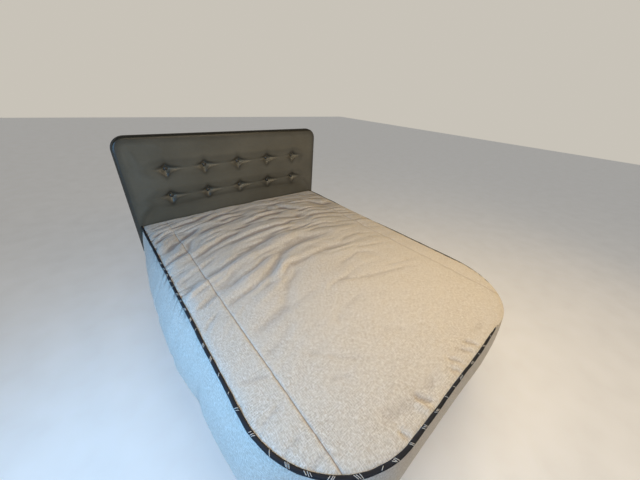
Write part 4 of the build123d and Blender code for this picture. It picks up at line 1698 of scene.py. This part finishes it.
@dataclass
class Woodwork:
    """Finishes of the storage base, the deck and the headboard's timber, and the screws in them."""

    veneer: Wood = Wood("cabinet_ply", (0.25, 0.155, 0.090), (0.115, 0.066, 0.038), Grain.UP, roughness=0.42)
    deck_ply: Wood = Wood("deck_ply", (0.60, 0.45, 0.29), (0.43, 0.30, 0.18), Grain.ACROSS, layers=2200.0)
    back_ply: Wood = Wood("back_ply", (0.55, 0.41, 0.27), (0.38, 0.26, 0.16), Grain.UP)
    timber_along: Wood = Wood("timber_along", (0.66, 0.50, 0.31), (0.50, 0.34, 0.19), Grain.ALONG)
    timber_across: Wood = Wood("timber_across", (0.66, 0.50, 0.31), (0.50, 0.34, 0.19), Grain.ACROSS)
    timber_up: Wood = Wood("timber_up", (0.62, 0.47, 0.29), (0.46, 0.31, 0.17), Grain.UP)
    screw_r: float = 0.0045
    screw_top_r: float = 0.0030
    screw_height: float = 0.0016
    recess_rim: float = 0.0012
    recess_depth: float = 0.0009

    def dress(self) -> None:
        """Give every wooden node its finish."""
        wear = {
            self.veneer: ["base_side_left", "base_side_right", "base_corner_left", "base_corner_right",
                          "base_foot_panel", "base_head_panel", "base_divider"],
            self.deck_ply: ["deck_fixed", "deck_lift"],
            self.back_ply: ["headboard_board"],
            self.timber_along: ["deck_cleat_left", "deck_cleat_right", "floor_cleat_left", "floor_cleat_right",
                                "deck_batten_left", "deck_batten_right"],
            self.timber_across: ["deck_batten_foot", "deck_batten_middle"],
            self.timber_up: ["headboard_upright_left", "headboard_upright_right"],
        }
        for finish, nodes in wear.items():
            paint(finish.build(), nodes)

    def build_screws(self) -> list[bpy.types.Object]:
        """Make the screw heads on the base's back, the cleats, the brackets and the battens.

        Returns:
            One piece for each body.
        """
        sides, down = (-1, 1), (0, 0, -1)
        back = [((side * x, 1.0225, z), (0, 1, 0)) for side in sides for x in (0.25, 0.6) for z in (0.46, 1.1)]
        cleats = [((side * 0.6475, y, 0.388), (-side, 0, 0)) for side in sides for y in (0.505, 0.705, 0.905)]
        brackets = [((side * 0.6715, 0.250 + dy, 0.178 + dz), (-side, 0, 0))
                    for side in sides for dy in (-0.016, 0.016) for dz in (-0.023, 0.023)]
        long_battens = [((side * 0.48, y, 0.3645), down)
                        for side in sides for y in (0.235, -0.095, -0.435, -0.715)]
        cross_battens = [((x, y, 0.3645), down) for x in (-0.3, 0.0, 0.3) for y in (-0.791, -0.224)]
        strut_ends = [((side * 0.634, 0.120 + dy, 0.4015), down) for side in sides for dy in (-0.026, 0.026)]
        return [self.add_heads("base_screws", back + cleats + brackets, "base"),
                self.add_heads("deck_screws", long_battens + cross_battens + strut_ends, "deck")]

    def add_heads(self, name: str, heads: Sequence[tuple[Point, Point]], body: str) -> bpy.types.Object:
        """Make one object of screw heads.

        Args:
            name: Name of the piece.
            heads: Place and direction of each.
            body: The body they ride on.

        Returns:
            The piece.
        """
        bm = bmesh.new()
        for place, facing in heads:
            turn = Vector(facing).to_track_quat("Z", "Y").to_matrix().to_4x4()
            before = set(bm.faces)
            bmesh.ops.create_cone(bm, cap_ends=True, segments=12, radius1=self.screw_r,
                                  radius2=self.screw_top_r, depth=self.screw_height,
                                  matrix=Matrix.Translation(place) @ turn)
            outer = max((face for face in bm.faces if face not in before and len(face.verts) == 12),
                        key=lambda face: face.calc_center_median().dot(Vector(facing)))
            bmesh.ops.inset_individual(bm, faces=[outer], thickness=self.recess_rim, depth=-self.recess_depth)
        piece = finish_piece(name, bm, smooth=False, outward=True)
        piece.data.materials.append(ZINC.build())
        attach(piece, body)
        return piece


@dataclass
class LiftGear:
    """Finishes of the hinge, the struts and the pull strap."""

    black: Metal = Metal("strut_black", (0.014, 0.014, 0.015), (0.045, 0.045, 0.046), 0.30, 0.0)
    chrome: Metal = Metal("rod_chrome", (0.70, 0.70, 0.71), (0.62, 0.62, 0.63), 0.10)
    webbing: WovenCloth = WovenCloth("strap_webbing", (0.020, 0.020, 0.022), (0.06, 0.06, 0.064), 1200.0)

    def dress(self) -> None:
        """Give every node of the lift its finish."""
        sides = ("left", "right")
        paint(ZINC.build(), ["hinge_leaf_fixed", "hinge_leaf_lift", "hinge_pin",
                             *(f"strut_bracket_{end}_{side}" for end in ("base", "deck") for side in sides)])
        paint(self.black.build(), [f"strut_cylinder_{side}" for side in sides])
        paint(self.chrome.build(), [f"strut_rod_{side}" for side in sides])
        paint(self.webbing.build(), ["lift_strap"])


def paint(material: bpy.types.Material, nodes: Sequence[str]) -> None:
    """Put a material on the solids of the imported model.

    Args:
        material: The finish.
        nodes: Names of the solids.
    """
    for name in nodes:
        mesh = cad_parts[name].data
        mesh.materials.clear()
        mesh.materials.append(material)


# ---------------------------------------------------------------- floor, light and camera


@dataclass(frozen=True)
class Lamp:
    """One soft rectangular light: where it stands, what it points at, its size, power in watts and colour."""

    name: str
    place: Point
    target: Point
    size: tuple[float, float]
    power: float
    colour: Colour

    def hang(self) -> None:
        """Put the light into the scene."""
        data = bpy.data.lights.new(self.name, "AREA")
        data.shape = "RECTANGLE"
        data.size, data.size_y = self.size
        data.energy = self.power
        data.color = self.colour
        lamp = bpy.data.objects.new(self.name, data)
        lamp.location = self.place
        lamp.rotation_euler = (Vector(self.target) - Vector(self.place)).to_track_quat("-Z", "Y").to_euler()
        bpy.context.scene.collection.objects.link(lamp)


@dataclass
class Studio:
    """Pale floor, cool light from the left, warm light from above and from the foot, and the camera."""

    lens: float = 14.42
    sensor: float = 36.0
    nearest: float = 0.05
    camera_place: Point = (-0.8978, -1.0765, 1.5681)
    camera_turn: tuple[float, float, float] = (-42.402, -30.154, -4.2405)
    lamps: tuple[Lamp, ...] = (
        Lamp("cool_left", (-1.8, -0.5, 1.3), (-0.7, -0.3, 0.55), (1.4, 0.7), 27.5, (0.21, 0.55, 1.0)),
        Lamp("warm_foot", (1.8, -3.7, 2.35), (0.1, 0.0, 0.6), (1.4, 1.1), 19.5, (1.0, 0.74, 0.42)),
        Lamp("warm_right", (2.9, -1.9, 1.75), (0.0, 0.1, 0.6), (1.6, 1.1), 4.5, (1.0, 0.70, 0.38)),
        Lamp("warm_above", (-0.3, -0.75, 2.2), (-0.3, -0.82, 0.0), (1.0, 0.9), 14.0, (1.0, 0.81, 0.55)),
        Lamp("warm_above_right", (0.8, -0.80, 2.2), (0.8, -0.9, 0.0), (1.0, 0.9), 16.5, (1.0, 0.79, 0.50)))
    air: Colour = (1.0, 0.94, 0.83)
    air_fade: tuple[float, float] = (0.22, 0.50)
    low_air: float = 0.32
    high_air: float = 0.005
    backdrop: float = 0.58
    floor_half: float = 14.0
    floor_dark: Colour = (0.66, 0.65, 0.63)
    floor_pale: Colour = (0.70, 0.69, 0.67)
    floor_roughness: float = 0.75
    floor_glow: float = 0.48

    def build(self) -> None:
        """Set up the camera, the lights, the world and the floor."""
        self.set_camera()
        for lamp in self.lamps:
            lamp.hang()
        bpy.context.scene.world = self.build_air()
        bpy.context.scene.view_settings.view_transform = "Standard"
        self.lay_floor()

    def lay_floor(self) -> None:
        """Lay the pale floor, which glows a little so that it runs into the backdrop."""
        bm = bmesh.new()
        bmesh.ops.create_grid(bm, x_segments=8, y_segments=8, size=self.floor_half)
        floor = finish_piece("studio_floor", bm, smooth=False)
        g = Graph("studio_floor")
        speckle = g.noise(g.place((6.0, 6.0, 6.0)), 5.0)
        tone = g.blend(g.limit(speckle, 0.3, 0.7), self.floor_dark, self.floor_pale)
        g.put(g.shader.inputs["Emission Color"], tone)
        floor.data.materials.append(g.close(tone, self.floor_roughness, Emission_Strength=self.floor_glow))

    def build_air(self) -> bpy.types.World:
        """Make a pale backdrop, whose light comes from low down only, so that the folds keep their shade.

        Returns:
            The world.
        """
        world = bpy.data.worlds.new("studio_air")
        world.use_nodes = True
        tree = world.node_tree
        way = tree.nodes.new("ShaderNodeSeparateXYZ")
        ramp = tree.nodes.new("ShaderNodeMapRange")
        tree.links.new(tree.nodes.new("ShaderNodeTexCoord").outputs["Generated"], way.inputs["Vector"])
        tree.links.new(way.outputs["Z"], ramp.inputs["Value"])
        for key, value in zip(("From Min", "From Max", "To Min", "To Max"),
                              (*self.air_fade, self.low_air, self.high_air)):
            ramp.inputs[key].default_value = value
        seen = tree.nodes.new("ShaderNodeMix")
        seen.data_type = "FLOAT"
        tree.links.new(tree.nodes.new("ShaderNodeLightPath").outputs["Is Camera Ray"], seen.inputs["Factor"])
        tree.links.new(ramp.outputs["Result"], seen.inputs["A"])
        seen.inputs["B"].default_value = self.backdrop
        tree.links.new(seen.outputs["Result"], tree.nodes["Background"].inputs["Strength"])
        tree.nodes["Background"].inputs["Color"].default_value = (*self.air, 1.0)
        return world

    def set_camera(self) -> None:
        """Put the camera where the photograph was taken from."""
        camera = bpy.data.objects.new("camera", bpy.data.cameras.new("camera"))
        camera.data.lens = self.lens
        camera.data.sensor_width = self.sensor
        camera.data.clip_start = self.nearest
        yaw, pitch, roll = (math.radians(angle) for angle in self.camera_turn)
        turn = Matrix.Rotation(yaw, 4, "Z") @ Matrix.Rotation(pitch, 4, "X") @ Matrix.Rotation(roll, 4, "Y")
        upright = Matrix.Rotation(math.pi / 2, 4, "X")
        camera.matrix_world = Matrix.Translation(self.camera_place) @ turn @ upright
        bpy.context.scene.collection.objects.link(camera)
        bpy.context.scene.camera = camera


def main() -> None:
    """Build the studio and each sub-assembly in turn, and report every piece."""
    logging.basicConfig(level=logging.INFO, format="%(name)s: %(message)s")
    Studio().build()
    woodwork = Woodwork()
    woodwork.dress()
    LiftGear().dress()
    pieces = [*Mattress().build(), *Bedspread().build(), *Headboard().build(), *woodwork.build_screws()]
    for piece in pieces:
        LOG.info("%s: %d faces", piece.name, len(piece.data.polygons))


if __name__ == "__main__":
    main()
